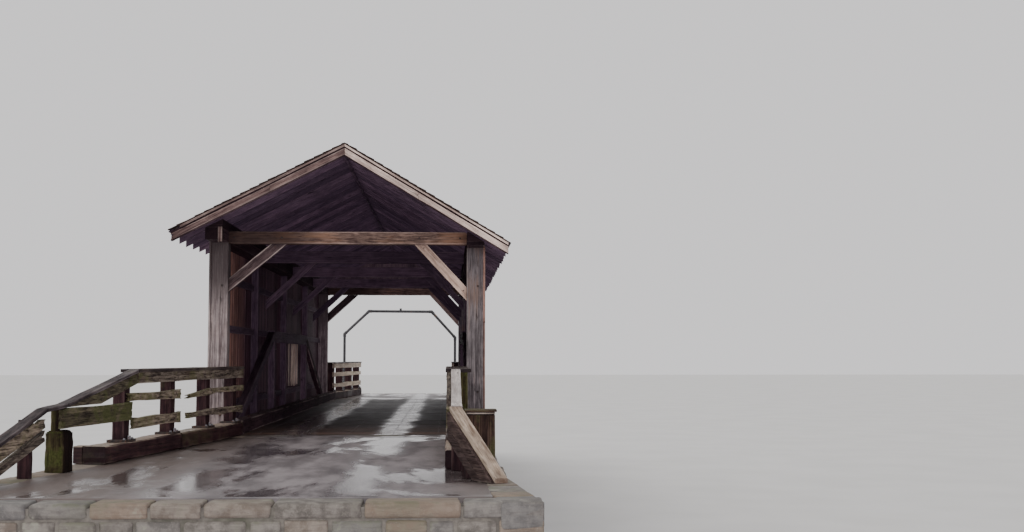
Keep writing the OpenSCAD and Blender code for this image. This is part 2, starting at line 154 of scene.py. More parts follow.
def wood(name, dark, light, patch=None, edge=None, inner=None, moss=0.0, moss_col=(0.10, 0.13, 0.045),
         rough=0.72, wet=0.0, edge_amt=0.5, foot=0.0, tone=0.25, cracks=0.8, painted_top_highlight=None, shine=0.18,
         mottle=0.35, high=None, left=None, inner2=None):
    """Sawn, weathered timber. grain = (along the board, two distances across it),
    board = (half sizes across, random number), wear = (distance to the nearer end, end grain, outer face: 1, and 0 on
    faces that take the painted light and shade)."""
    s = Shade(name)
    gx, ga, gb = s.attr("grain")
    hw, hh, rnd = s.attr("board")
    ends, cap, outer_face = s.attr("wear")
    pos = s.place()
    px, py, pz = s.sep(pos)
    off = s.m("MULTIPLY", rnd, 53.7)
    fine = s.noise(s.comb(s.m("MULTIPLY_ADD", gx, 2.2, off), s.m("MULTIPLY", ga, 95), s.m("MULTIPLY", gb, 95)), 1, 3, 0.6)
    streak = s.noise(s.comb(s.m("MULTIPLY_ADD", gx, 0.55, off), s.m("MULTIPLY_ADD", ga, 19, off), s.m("MULTIPLY", gb, 19)), 1, 4, 0.62, 0.6)
    big = s.noise(pos, 0.8, 3, 0.55)
    blot = s.noise(pos, 6.5, 4, 0.65)
    crack_n = s.noise(s.comb(s.m("MULTIPLY_ADD", gx, 0.8, off), s.m("MULTIPLY_ADD", ga, 30, 7.7), s.m("MULTIPLY_ADD", gb, 30, off)), 1, 2, 0.4, 0.3)
    crack = s.m("MULTIPLY", s.ramp(s.m("ABSOLUTE", s.m("SUBTRACT", crack_n, 0.5)), 0.022, 0.004), s.ramp(streak, 0.42, 0.6))
    edge_d = s.m("MAXIMUM", s.m("SUBTRACT", hw, s.m("ABSOLUTE", ga)), s.m("SUBTRACT", hh, s.m("ABSOLUTE", gb)))
    wear_and_edge_highlight = s.m("MULTIPLY", s.ramp(s.m("MULTIPLY_ADD", blot, -0.03, edge_d), 0.014, -0.014), s.ramp(big, 0.35, 0.6))
    flecks = s.noise(s.comb(s.m("MULTIPLY_ADD", gx, 4.5, off), s.m("MULTIPLY_ADD", ga, 24, off), s.m("MULTIPLY", gb, 24)), 1, 4, 0.72, 0.4)
    tone_f = s.m("ADD", s.m("MULTIPLY", streak, 0.7 - mottle), s.m("MULTIPLY", fine, 0.3))
    tone_f = s.m("ADD", tone_f, s.m("MULTIPLY", flecks, mottle))
    col = s.mix(s.ramp(tone_f, 0.38, 0.62), dark, light)
    if patch:
        col = s.mix(s.m("MULTIPLY", s.ramp(s.m("ADD", s.m("MULTIPLY", big, 0.55), s.m("MULTIPLY", streak, 0.45)), 0.5, 0.62), 0.75), col, patch)
    # every board has its own tone
    col = s.mix(1.0, col, s.node("ShaderNodeCombineColor", i0=s.ramp(rnd, 0, 1, 1 - tone, 1 + tone),
                                 i1=s.ramp(rnd, 0, 1, 1 - tone, 1 + tone * 0.9), i2=s.ramp(rnd, 0, 1, 1 - tone * 0.9, 1 + tone * 0.8)), "MULTIPLY")
    dirt = s.ramp(s.m("MULTIPLY_ADD", blot, 0.35, s.m("MULTIPLY", big, 0.65)), 0.62, 0.4)
    col = s.mix(s.m("MULTIPLY", dirt, 0.45), col, tuple(x * 0.45 for x in dark))
    # lighter edges: partly weathered, rubbed timber, partly a painted edge highlight
    if edge:
        col = s.mix(s.m("MULTIPLY", wear_and_edge_highlight, edge_amt), col, edge)
    near_end = s.ramp(s.m("MULTIPLY_ADD", streak, 0.12, ends), 0.24, 0.04)
    col = s.mix(s.m("MULTIPLY", near_end, 0.45), col, tuple(x * 0.55 for x in dark))
    # painted highlight: upward faces lightened as if lit from above
    if painted_top_highlight:
        col = s.mix(s.m("MULTIPLY", s.ramp(s.up(), 0.6, 0.9), s.ramp(blot, 0.3, 0.55)), col, painted_top_highlight)
    if foot:
        low = s.ramp(s.m("MULTIPLY_ADD", blot, 0.5, pz), DZ + 0.75, DZ + 0.2)
        col = s.mix(s.m("MULTIPLY", low, foot), col, tuple(x * 0.4 for x in dark))
    if high:            # darker towards the roof: (from, to, amount), heights over the deck
        darker_top = s.ramp(s.m("MULTIPLY_ADD", streak, 0.9, pz), DZ + 0.45 + high[0], DZ + 0.45 + high[1])
        col = s.mix(s.m("MULTIPLY", darker_top, high[2]), col, tuple(x * 0.5 for x in dark))
    if left:            # and towards the left side of the road
        shade = s.ramp(s.m("MULTIPLY_ADD", flecks, -0.8, px), OX - 0.4 + left[0], OX - 0.4 + left[1])
        col = s.mix(s.m("MULTIPLY", shade, left[2]), col, tuple(x * 0.5 for x in dark))
    if moss:
        grow = s.m("ADD", s.m("MULTIPLY", blot, 0.5), s.m("MULTIPLY", big, 0.6))
        grow = s.m("ADD", grow, s.m("MULTIPLY", s.up(), 0.06))
        grow = s.m("ADD", grow, s.m("MULTIPLY", rnd, 0.12))
        mask = s.m("MULTIPLY", s.ramp(grow, 0.66 - 0.12 * moss, 0.80 - 0.1 * moss), min(1.0, 0.85 * moss + 0.1))
        green = s.mix(s.ramp(s.noise(pos, 45, 3, 0.7), 0.35, 0.65), tuple(x * 0.5 for x in moss_col), moss_col)
        col = s.mix(mask, col, green)
    col = s.mix(s.m("MULTIPLY", crack, cracks), col, tuple(x * 0.22 for x in dark))
    ring = s.m("MULTIPLY", s.m("SINE", s.m("MULTIPLY", s.node("ShaderNodeVectorMath", 1, _operation="LENGTH", i0=s.comb(0.0, s.m("ADD", ga, 0.04), s.m("ADD", gb, 0.03))), 700)), 0.5)
    col = s.mix(s.m("MULTIPLY", cap, 0.55), col, tuple(x * 0.6 for x in dark))
    # painted light and shade: faces whose third value is 0, those towards the road, are multiplied by inner
    if inner:
        painted_side_light = inner
        if inner2:      # painted light on the road-side face by the near portal, painted shade further in
            painted_side_light = s.mix(s.ramp(s.m("MULTIPLY_ADD", flecks, 0.5, py), OY - HALF + 2.4, OY - HALF + 4.8), inner, inner2)
        col = s.mix(s.ramp(outer_face, 0.0, 1.0), s.mix(1.0, col, painted_side_light, "MULTIPLY"), col)
    r = s.m("MULTIPLY_ADD", blot, 0.3, rough - 0.15)
    if wet:
        r = s.m("SUBTRACT", r, s.m("MULTIPLY", s.ramp(big, 0.45, 0.62), wet))
    h = s.m("ADD", s.m("MULTIPLY", fine, 0.35), s.m("MULTIPLY", streak, 0.6))
    h = s.m("SUBTRACT", h, s.m("MULTIPLY", crack, 0.9))
    h = s.m("ADD", h, s.m("MULTIPLY", s.m("MULTIPLY", ring, cap), 0.25))
    s.bump(h, 0.75, 0.006)
    s.bsdf.inputs["Specular IOR Level"].default_value = shine
    return s.done(col, s.m("MAXIMUM", r, 0.12))


def deck_wood():
    s = Shade("wet_deck_planks")
    gx, ga, gb = s.attr("grain")
    hw, hh, rnd = s.attr("board")
    pos = s.place()
    px, py, pz = s.sep(pos)
    off = s.m("MULTIPLY", rnd, 53.7)
    fine = s.noise(s.comb(s.m("MULTIPLY_ADD", gx, 2.4, off), s.m("MULTIPLY", ga, 90), s.m("MULTIPLY", gb, 90)), 1, 3, 0.6)
    streak = s.noise(s.comb(s.m("MULTIPLY_ADD", gx, 0.7, off), s.m("MULTIPLY", ga, 20), s.m("MULTIPLY_ADD", gb, 20, off)), 1, 4, 0.6, 0.5)
    blot = s.noise(pos, 4.0, 4, 0.6)
    x = s.m("SUBTRACT", px, OX)
    wob = s.m("MULTIPLY", s.m("SUBTRACT", s.noise(pos, 0.7, 2), 0.5), 0.35)
    d1 = s.m("ABSOLUTE", s.m("ADD", s.m("ADD", x, 0.97), wob))
    d2 = s.m("ABSOLUTE", s.m("ADD", s.m("SUBTRACT", x, 0.78), wob))
    d = s.m("MULTIPLY_ADD", s.m("SUBTRACT", blot, 0.5), 0.25, s.m("MINIMUM", d1, d2))
    track = s.ramp(d, 0.42, 0.18)
    col = s.mix(s.ramp(s.m("MULTIPLY_ADD", fine, 0.35, s.m("MULTIPLY", streak, 0.65)), 0.3, 0.7), (0.018, 0.012, 0.011), (0.055, 0.036, 0.030))
    # rust-brown planks towards the near portal
    near = s.ramp(s.m("MULTIPLY_ADD", blot, 2.0, py), OY - 5.5, OY - 8.6)
    col = s.mix(s.m("MULTIPLY", near, s.ramp(rnd, 0.2, 0.9, 0.2, 0.7)), col, (0.10, 0.052, 0.034))
    # lighter wheel tracks: the lighter colour is a painted reflection of the sky on the wet tracks, and their gloss
    # comes from the lower roughness below
    col = s.mix(s.m("MULTIPLY", track, 0.7), col, (0.10, 0.088, 0.082))
    col = s.mix(s.ramp(rnd, 0.0, 1.0, 0.25, 0.0), col, (0.012, 0.008, 0.008))
    s.bump(s.m("ADD", s.m("MULTIPLY", streak, 0.6), s.m("MULTIPLY", fine, 0.3)), 0.5, 0.005)
    r = s.m("MULTIPLY_ADD", blot, 0.35, 0.38)
    r = s.m("SUBTRACT", r, s.m("MULTIPLY", track, 0.36))
    return s.done(col, s.m("MAXIMUM", r, 0.1))


def stone_mat():
    s = Shade("fieldstone")
    hw, hh, rnd = s.attr("board")
    pos = s.place()
    px, py, pz = s.sep(pos)
    big = s.noise(pos, 0.9, 3)
    mid = s.noise(pos, 7, 5, 0.65)
    fine = s.noise(pos, 60, 3, 0.7)
    own = s.node("ShaderNodeVectorMath", _operation="ADD", i0=pos, i1=s.comb(s.m("MULTIPLY", rnd, 31.0), s.m("MULTIPLY", rnd, 17.0), 0.0))
    strata = s.noise(s.node("ShaderNodeVectorMath", _operation="MULTIPLY", i0=own, i1=(3.0, 3.0, 26.0)), 1, 3, 0.6, 1.0)
    col = s.mix(s.ramp(mid, 0.35, 0.65), (0.095, 0.085, 0.074), (0.235, 0.215, 0.19))
    warm = s.ramp(rnd, 0.55, 1.0)
    col = s.mix(s.m("MULTIPLY", warm, 0.55), col, (0.24, 0.17, 0.115))
    cold = s.ramp(rnd, 0.4, 0.0)
    col = s.mix(s.m("MULTIPLY", cold, 0.5), col, (0.12, 0.125, 0.13))
    col = s.mix(s.m("MULTIPLY", s.ramp(strata, 0.45, 0.62), 0.3), col, (0.07, 0.06, 0.055))
    col = s.mix(s.m("MULTIPLY", s.ramp(fine, 0.55, 0.75), 0.35), col, (0.33, 0.31, 0.28))
    lichen = s.ramp(s.noise(pos, 3.2, 4, 0.7), 0.60, 0.68)
    col = s.mix(s.m("MULTIPLY", lichen, 0.4), col, (0.32, 0.33, 0.26))
    damp = s.ramp(s.m("MULTIPLY_ADD", big, 0.9, pz), 1.15, 0.45)
    mossy = s.m("MULTIPLY", s.ramp(s.m("ADD", s.m("MULTIPLY", mid, 0.5), s.m("MULTIPLY", big, 0.5)), 0.5, 0.62), s.ramp(s.up(), -0.2, 0.7, 0.35, 1.0))
    col = s.mix(s.m("MULTIPLY", mossy, 0.55), col, (0.055, 0.07, 0.028))
    col = s.mix(s.m("MULTIPLY", damp, 0.6), col, (0.035, 0.034, 0.028))
    s.bump(s.m("ADD", s.m("ADD", s.m("MULTIPLY", mid, 0.8), s.m("MULTIPLY", fine, 0.15)), s.m("MULTIPLY", strata, 0.3)), 0.9, 0.02)
    return s.done(col, s.m("MULTIPLY_ADD", mid, 0.25, s.ramp(damp, 0, 1, 0.68, 0.42)))


def mortar_mat():
    s = Shade("lime_mortar")
    pos = s.place()
    mid = s.noise(pos, 9, 4, 0.6)
    fine = s.noise(pos, 90, 3, 0.7)
    col = s.mix(s.ramp(mid, 0.3, 0.7), (0.10, 0.092, 0.08), (0.19, 0.175, 0.15))
    col = s.mix(s.m("MULTIPLY", s.ramp(s.noise(pos, 1.7, 3), 0.5, 0.65), 0.7), col, (0.045, 0.05, 0.03))
    s.bump(s.m("ADD", s.m("MULTIPLY", mid, 0.6), s.m("MULTIPLY", fine, 0.3)), 0.8, 0.01)
    return s.done(col, s.m("MULTIPLY_ADD", fine, 0.2, 0.75))


def fill_mat():
    """Packed gravel and earth between the wing walls, dark and wet."""
    s = Shade("packed_wet_gravel")
    pos = s.place()
    px, py, pz = s.sep(pos)
    along = s.comb(px, s.m("MULTIPLY", py, 0.35), pz)
    big = s.noise(along, 0.75, 4, 0.6, 0.4)
    mid = s.noise(along, 3.2, 4, 0.6)
    grit = s.cells(pos, 55, "F1")
    tone = s.cells(pos, 55, "F1", 1)
    grey = s.node("ShaderNodeRGBToBW", i0=tone)
    fine = s.noise(pos, 130, 3, 0.7)
    col = s.mix(s.ramp(mid, 0.3, 0.7), (0.082, 0.070, 0.073), (0.225, 0.200, 0.205))
    col = s.mix(s.m("MULTIPLY", s.ramp(grey, 0.55, 0.95), 0.35), col, (0.24, 0.215, 0.205))
    x = s.m("SUBTRACT", px, OX)
    wob = s.m("MULTIPLY", s.m("SUBTRACT", mid, 0.5), 0.5)
    d = s.m("ADD", s.m("MINIMUM", s.m("ABSOLUTE", s.m("ADD", x, 1.0)), s.m("ABSOLUTE", s.m("SUBTRACT", x, 0.8))), wob)
    track = s.ramp(d, 0.5, 0.1)
    pool = s.m("MAXIMUM", s.ramp(big, 0.50, 0.60), s.m("MULTIPLY", track, s.ramp(big, 0.36, 0.5)))
    side = s.ramp(s.m("MULTIPLY_ADD", mid, 0.9, s.m("ABSOLUTE", s.m("ADD", x, -0.25))), 1.5, 2.6)
    col = s.mix(s.m("MULTIPLY", side, 0.8), col, (0.075, 0.050, 0.038))
    col = s.mix(s.m("MULTIPLY", pool, 0.4), col, (0.040, 0.035, 0.038))
    flat = s.m("SUBTRACT", 1.0, s.m("MULTIPLY", pool, 0.88))
    h = s.m("MULTIPLY", s.m("ADD", s.m("MULTIPLY", grit, -0.5), s.m("MULTIPLY", fine, 0.4)), flat)
    s.bump(h, 0.55, 0.008)
    r = s.m("SUBTRACT", s.m("MULTIPLY_ADD", fine, 0.25, 0.42), s.m("MULTIPLY", pool, 0.40))
    return s.done(col, s.m("MAXIMUM", r, 0.07))


def pipe_mat():
    s = Shade("black_painted_pipe")
    pos = s.place()
    n = s.noise(pos, 7, 4, 0.6)
    f = s.noise(pos, 60, 3, 0.7)
    rust = s.ramp(s.m("MULTIPLY_ADD", f, 0.25, s.m("MULTIPLY", n, 0.75)), 0.60, 0.66)
    col = s.mix(s.ramp(n, 0.3, 0.7), (0.012, 0.012, 0.014), (0.03, 0.03, 0.034))
    col = s.mix(s.m("MULTIPLY", rust, 0.7), col, (0.11, 0.045, 0.02))
    s.bump(s.m("ADD", s.m("MULTIPLY", f, 0.3), s.m("MULTIPLY", rust, 0.5)), 0.4, 0.002)
    return s.done(col, s.m("MULTIPLY_ADD", rust, 0.4, s.m("MULTIPLY_ADD", n, 0.2, 0.3)))


def steel_mat(name, base, bright, metal, rough):
    s = Shade(name)
    pos = s.place()
    n = s.noise(pos, 22, 4, 0.65)
    f = s.noise(pos, 160, 2, 0.7)
    rust = s.ramp(s.m("MULTIPLY_ADD", f, 0.3, s.m("MULTIPLY", n, 0.7)), 0.50, 0.62)
    col = s.mix(s.ramp(n, 0.3, 0.6), base, bright)
    col = s.mix(s.m("MULTIPLY", rust, 0.8), col, (0.12, 0.05, 0.025))
    s.bsdf.inputs["Metallic"].default_value = metal
    s.bump(s.m("ADD", n, s.m("MULTIPLY", f, 0.4)), 0.35, 0.002)
    return s.done(col, s.m("MULTIPLY_ADD", rust, 0.3, rough))


M = {
    "shake": wood("split_shakes", (0.040, 0.027, 0.024), (0.170, 0.130, 0.112), patch=(0.095, 0.075, 0.066), moss=0.3,
                  moss_col=(0.085, 0.09, 0.035), rough=0.8, edge=(0.22, 0.18, 0.155), tone=0.38),
    "shake_edge": wood("split_shake_sides", (0.022, 0.012, 0.010), (0.070, 0.043, 0.036), rough=0.8, tone=0.35),
    "sheath": wood("sheathing_boards", (0.075, 0.050, 0.076), (0.165, 0.114, 0.158), rough=0.8, tone=0.3, shine=0.1),
    "rafter": wood("roof_framing", (0.075, 0.050, 0.076), (0.160, 0.110, 0.150), rough=0.78, tone=0.25, shine=0.1),
    "rake": wood("right_rake_timber", (0.34, 0.245, 0.210), (0.93, 0.775, 0.670), patch=(0.66, 0.51, 0.42), edge=(0.86, 0.74, 0.66),
                 rough=0.72, tone=0.10),
    "rake_l": wood("left_rake_timber", (0.045, 0.022, 0.022), (0.250, 0.170, 0.152), patch=(0.17, 0.115, 0.10), edge=(0.44, 0.36, 0.32),
                   rough=0.72, tone=0.10),
    # inner and inner2: painted light on the road-side face by the near portal, painted shade further in
    "siding": wood("siding_boards", (0.055, 0.030, 0.026), (0.190, 0.125, 0.104), patch=(0.140, 0.088, 0.072), edge=(0.22, 0.165, 0.14),
                   inner=(2.6, 2.15, 2.0), inner2=(0.66, 0.52, 0.86), rough=0.75, tone=0.3, foot=0.35),
    "gable": wood("gable_boards", (0.080, 0.052, 0.070), (0.190, 0.140, 0.150), patch=(0.140, 0.100, 0.115), edge=(0.19, 0.145, 0.13),
                  rough=0.75, tone=0.3, shine=0.1),
    # inner: painted light on the slats' face towards the road, from the window
    "slat": wood("window_slats", (0.13, 0.100, 0.078), (0.33, 0.275, 0.225), inner=(3.0, 3.0, 3.0), rough=0.7, tone=0.3),
    "post": wood("portal_timber", (0.090, 0.066, 0.066), (0.44, 0.385, 0.37), patch=(0.25, 0.195, 0.18), edge=(0.48, 0.42, 0.40),
                 rough=0.7, tone=0.08, mottle=0.2, high=(2.0, 2.9, 0.8)),
    "post_r": wood("right_portal_timber", (0.045, 0.036, 0.038), (0.265, 0.238, 0.240), patch=(0.15, 0.095, 0.07), edge=(0.34, 0.31, 0.30),
                   rough=0.7, tone=0.08, mottle=0.25),
    "tie": wood("tie_timber", (0.040, 0.020, 0.018), (0.300, 0.205, 0.160), patch=(0.30, 0.165, 0.095), edge=(0.44, 0.33, 0.28),
                edge_amt=0.8, rough=0.72, tone=0.08, mottle=0.5, left=(-0.3, -1.2, 0.8)),
    "brace_l": wood("left_knee_brace", (0.014, 0.006, 0.009), (0.122, 0.084, 0.082), edge=(0.50, 0.41, 0.37), edge_amt=1.0, rough=0.75, tone=0.1),
    # painted light: the right knee brace gets a pale timber so that it reads lit under the roof
    "brace_r": wood("right_knee_brace", (0.24, 0.160, 0.125), (0.70, 0.530, 0.440), patch=(0.50, 0.36, 0.28), edge=(0.70, 0.57, 0.49), rough=0.72,
                    tone=0.1),
    "frame": wood("dark_timber", (0.052, 0.032, 0.050), (0.130, 0.088, 0.118), edge=(0.18, 0.135, 0.15), rough=0.75, tone=0.2, shine=0.1),
    "plate": wood("wall_plate_timber", (0.014, 0.006, 0.010), (0.060, 0.034, 0.040), edge=(0.10, 0.07, 0.07), rough=0.75, tone=0.2, shine=0.1),
    "guard": wood("wheel_guard_timber", (0.020, 0.010, 0.015), (0.075, 0.046, 0.052), edge=(0.38, 0.30, 0.28), edge_amt=1.0,
                  painted_top_highlight=(0.12, 0.085, 0.09), rough=0.85, tone=0.2, shine=0.05),
    "rail": wood("mossy_rails", (0.014, 0.006, 0.008), (0.40, 0.335, 0.255), patch=(0.085, 0.050, 0.044), edge=(0.58, 0.52, 0.43),
                 moss=0.6, moss_col=(0.125, 0.135, 0.050), rough=0.75, tone=0.34, mottle=0.5, shine=0.12),
    "rail_w": wood("mossy_slope_rails", (0.012, 0.007, 0.006), (0.25, 0.215, 0.140), patch=(0.070, 0.046, 0.034), edge=(0.36, 0.33, 0.24),
                   moss=0.9, moss_col=(0.085, 0.095, 0.034), rough=0.75, tone=0.2, mottle=0.5, shine=0.12),
    # painted light: the far rails get a near-white timber so that they read as lit though they stand in shade
    "rail_far": wood("far_rails", (0.36, 0.290, 0.215), (0.96, 0.860, 0.700), patch=(0.66, 0.56, 0.43), edge=(0.60, 0.53, 0.44),
                     moss=0.3, moss_col=(0.25, 0.26, 0.12), rough=0.75, tone=0.2),
    # painted shade: near-black boards for the shaded face of the closed right foot under the cap
    "foot_r": wood("right_foot_boards", (0.020, 0.010, 0.010), (0.150, 0.108, 0.098), patch=(0.085, 0.055, 0.050), edge=(0.30, 0.26, 0.22), rough=0.75,
                   tone=0.25, mottle=0.5, shine=0.12),
    # painted shade: near-black timber for the railing posts' shaded sides
    "rpost": wood("dark_rail_posts", (0.012, 0.004, 0.007), (0.064, 0.030, 0.032), edge=(0.13, 0.085, 0.08), moss=0.1, rough=0.72, tone=0.2,
                  shine=0.12),
    # inner: painted shade on the log's side towards the road
    "mpost": wood("green_log", (0.016, 0.009, 0.005), (0.108, 0.092, 0.042), moss=0.95, moss_col=(0.056, 0.067, 0.018), edge=(0.24, 0.22, 0.12),
                  inner=(0.22, 0.11, 0.20), rough=0.8, tone=0.15, mottle=0.25, shine=0.1),
    "curb": wood("curb_timber", (0.013, 0.004, 0.007), (0.060, 0.027, 0.029), edge=(0.24, 0.185, 0.155), edge_amt=0.6, moss=0.15,
                 painted_top_highlight=(0.30, 0.235, 0.19), rough=0.68, wet=0.2, tone=0.15, shine=0.15),
    "cap": wood("rail_caps", (0.013, 0.008, 0.011), (0.108, 0.080, 0.078), patch=(0.050, 0.033, 0.032), edge=(0.26, 0.23, 0.24),
                rough=0.62, wet=0.12, tone=0.1, moss=0.1, mottle=0.65, shine=0.15),
    "cap_r": wood("right_rail_caps", (0.34, 0.300, 0.285), (0.72, 0.670, 0.640), patch=(0.56, 0.50, 0.46), edge=(0.75, 0.70, 0.67),
                  rough=0.6, wet=0.15, tone=0.06, shine=0.3),
    "cap_r2": wood("right_foot_cap", (0.16, 0.105, 0.070), (0.64, 0.525, 0.420), patch=(0.42, 0.27, 0.16), edge=(0.74, 0.64, 0.55),
                   rough=0.6, wet=0.15, tone=0.06, mottle=0.45, shine=0.3),
    "cap_top": wood("level_caps", (0.014, 0.007, 0.009), (0.085, 0.062, 0.058), patch=(0.060, 0.045, 0.035), edge=(0.17, 0.14, 0.12),
                    rough=0.6, wet=0.2, tone=0.15, moss=0.3, moss_col=(0.075, 0.08, 0.03), shine=0.2),
    "box": wood("box_planks", (0.010, 0.004, 0.004), (0.080, 0.046, 0.034), edge=(0.15, 0.10, 0.075), moss=0.3, rough=0.75, tone=0.45, shine=0.12),
    "boxlid": wood("box_lid_boards", (0.18, 0.14, 0.12), (0.50, 0.43, 0.37), edge=(0.55, 0.48, 0.42), rough=0.65, tone=0.1),
    "deck": deck_wood(),
    "stone": stone_mat(),
    "mortar": mortar_mat(),
    "fill": fill_mat(),
    "pipe": pipe_mat(),
    "iron": steel_mat("old_iron", (0.018, 0.014, 0.014), (0.045, 0.036, 0.033), 0.5, 0.6),
    "zinc": steel_mat("galvanised_bolts", (0.10, 0.095, 0.10), (0.24, 0.24, 0.26), 0.6, 0.5),
}


# ---------------------------------------------------------------- mesh building
def unit(v):
    v = np.asarray(v, float)
    return v / np.linalg.norm(v)


def soft_noise(rng, n, reach=3):
    x = rng.normal(size=n + 2 * reach)
    k = np.hanning(2 * reach + 3)[1:-1]
    return np.convolve(x, k / np.sqrt((k ** 2).sum()), "same")[reach:reach + n]


class Pile:
    """Collects boards, stones and bolts into one mesh."""

    def __init__(s, name, mats, slot, nodes=(), seed=1):
        s.name, s.slot, s.nodes = name, slot, nodes
        s.mats = [M[m] for m in mats]
        s.index = {m: i for i, m in enumerate(mats)}
        s.rng = np.random.default_rng(seed)
        s.v, s.g, s.b, s.w, s.f, s.fm, s.fs, s.n = [], [], [], [], [], [], [], 0
        s.put = lambda p: p
        s.flip = False

    def add(s, v, g, b, w, faces, mat=0, smooth=False):
        v = s.put(np.asarray(v, float))
        s.v.append(v)
        s.g.append(g)
        s.b.append(b)
        s.w.append(w)
        for f in faces:
            f = np.asarray(f) + s.n
            if f.ndim == 1:
                f = f[None]
            s.f.append(f[:, ::-1] if s.flip else f)
            s.fm.append(np.full(len(f), mat))
            s.fs.append(np.full(len(f), smooth))
        s.n += len(v)

    def board(s, p, q, face, w, h, c=0.006, rows=0, seg=0.45, bow=0.002, rough=0.0006, rag=(0.0, 0.0),
              cut0=None, cut1=None, outer_face=1.0, mat=0, tint=None, taper=None):
        """A timber from p to q. face is the way its thickness w runs, and h is its other size across."""
        r = s.rng
        p, q = np.asarray(p, float), np.asarray(q, float)
        length = np.linalg.norm(q - p)
        ax = (q - p) / length
        fa = np.asarray(face, float)
        fa = unit(fa - fa.dot(ax) * ax)
        fb = np.cross(ax, fa)
        hw, hh = w / 2, h / 2
        c = min(c, hw * 0.45, hh * 0.45)
        inner = list(np.linspace(-hh + c, hh - c, rows + 2)) if rows else [-hh + c, hh - c]
        ys = np.array([-hh] + inner + [hh])
        xs = np.full(len(ys), hw)
        xs[0] = xs[-1] = hw - c
        m = len(ys)
        A, B = np.concatenate([xs, -xs[::-1]]), np.concatenate([ys, ys[::-1]])
        n = 2 * m
        off = A[:, None] * fa + B[:, None] * fb
        d0 = -(off @ cut0) / ax.dot(cut0) if cut0 is not None else np.zeros(n)
        d1 = -(off @ cut1) / ax.dot(cut1) if cut1 is not None else np.zeros(n)
        if rag[0]:
            j = r.random(m) * rag[0]
            d0 = d0 + np.concatenate([j, (j + r.random(m) * rag[0] * 0.3)[::-1]])
        if rag[1]:
            j = r.random(m) * rag[1]
            d1 = d1 - np.concatenate([j, (j + r.random(m) * rag[1] * 0.3)[::-1]])
        R = max(2, int(length / seg) + 2)
        t = np.linspace(0, 1, R)
        if rag[0] or rag[1]:
            t = np.unique(np.concatenate([t, [min(0.3, 0.12 / length), 1 - min(0.3, 0.12 / length)]]))
            R = len(t)
        start = p + off + ax * d0[:, None]
        end = q + off * (1 if taper is None else taper) + ax * d1[:, None]
        v = start[None] * (1 - t)[:, None, None] + end[None] * t[:, None, None]
        if bow and R > 2:
            v = v + (soft_noise(r, R) * bow * 0.6)[:, None, None] * fa + (soft_noise(r, R) * bow * 0.6)[:, None, None] * fb
        if rough:
            v = v + r.normal(size=(R, n, 1)) * rough * fa + r.normal(size=(R, n, 1)) * rough * fb
        rnd = r.random() if tint is None else tint
        shift = r.random() * 40
        along = (d0[None] * (1 - t)[:, None] + (length + d1[None]) * t[:, None])
        g = np.stack([along + shift, np.broadcast_to(A, (R, n)), np.broadcast_to(B, (R, n))], -1)
        bb = np.broadcast_to(np.array([hw, hh, rnd]), (R, n, 3))
        ww = np.stack([np.broadcast_to((np.minimum(t, 1 - t) * length)[:, None], (R, n)), np.zeros((R, n)), np.full((R, n), outer_face)], -1)
        i = np.arange(n)
        quads = []
        for k in range(R - 1):
            quads.append(np.stack([k * n + i, k * n + (i + 1) % n, (k + 1) * n + (i + 1) % n, (k + 1) * n + i], -1))
        v = v.reshape(-1, 3)
        caps_v = np.concatenate([v[:n], v[-n:]])
        caps_g = np.concatenate([g[0], g[-1]])
        caps_w = np.tile(np.array([0.0, 1.0, outer_face]), (2 * n, 1))
        base = R * n
        k = np.arange(m - 1)
        end_q = np.stack([base + n + k, base + n + k + 1, base + n + n - 2 - k, base + n + n - 1 - k], -1)
        start_q = np.stack([base + k, base + n - 1 - k, base + n - 2 - k, base + k + 1], -1)
        s.add(np.concatenate([v, caps_v]), np.concatenate([g.reshape(-1, 3), caps_g]),
              np.concatenate([bb.reshape(-1, 3), np.tile([hw, hh, rnd], (2 * n, 1))]),
              np.concatenate([ww.reshape(-1, 3), caps_w]), [np.concatenate(quads), start_q, end_q], mat)

    def slab(s, outline, frame3, t0, t1, c=0.006, outer_face=1.0, mat=0, tint=None, along=0, wave=0.003, jag=0.0, jag_at=(), step=0.3, cup=0.0):
        """A board cut to an outline of (distance, height) points, anticlockwise, between t0 and t1 in thickness.
        frame3 turns arrays (distance, thickness, height) into points. Edges in jag_at are splintered."""
        r = s.rng
        pts, ends = [], []
        k = len(outline)
        for i in range(k):
            a, b = np.array(outline[i], float), np.array(outline[(i + 1) % k], float)
            length = np.linalg.norm(b - a)
            normal = np.array([b[1] - a[1], a[0] - b[0]]) / max(length, 1e-9)
            if i in jag_at and jag:
                cnt = max(4, int(length / 0.018))
                tt = np.sort(r.random(cnt - 1)) * 0.94 + 0.03
                depth = np.abs(soft_noise(r, cnt - 1, 1)) * jag
                pts.append(a)
                pts += [a + (b - a) * tt[j] - normal * depth[j] for j in range(cnt - 1)]
            else:
                cnt = max(1, int(length / step))
                wob = soft_noise(r, cnt + 1) * wave
                pts.append(a)
                pts += [a + (b - a) * j / cnt - normal * abs(wob[j]) for j in range(1, cnt)]
        o = np.array(pts)
        n = len(o)
        prev, nxt = np.roll(o, 1, 0), np.roll(o, -1, 0)
        tang = nxt - prev
        nrm = np.stack([tang[:, 1], -tang[:, 0]], -1)
        nrm = nrm / np.maximum(np.linalg.norm(nrm, axis=1, keepdims=True), 1e-9)
        inset = o - nrm * c
        lo, hi = o.min(0), o.max(0)
        mid, half = (lo + hi) / 2, (hi - lo) / 2
        bend = np.zeros(n)
        if cup:
            x = (o[:, 0] - lo[0]) / max(1e-9, hi[0] - lo[0])
            bend = np.interp(x, np.linspace(0, 1, 7), r.normal(size=7) * cup)
        rows = [(inset, t0), (o, t0 + c), (o, t1 - c), (inset, t1)]
        v = np.concatenate([np.stack([a[:, 0], np.full(n, t) + bend, a[:, 1]], -1) for a, t in rows])
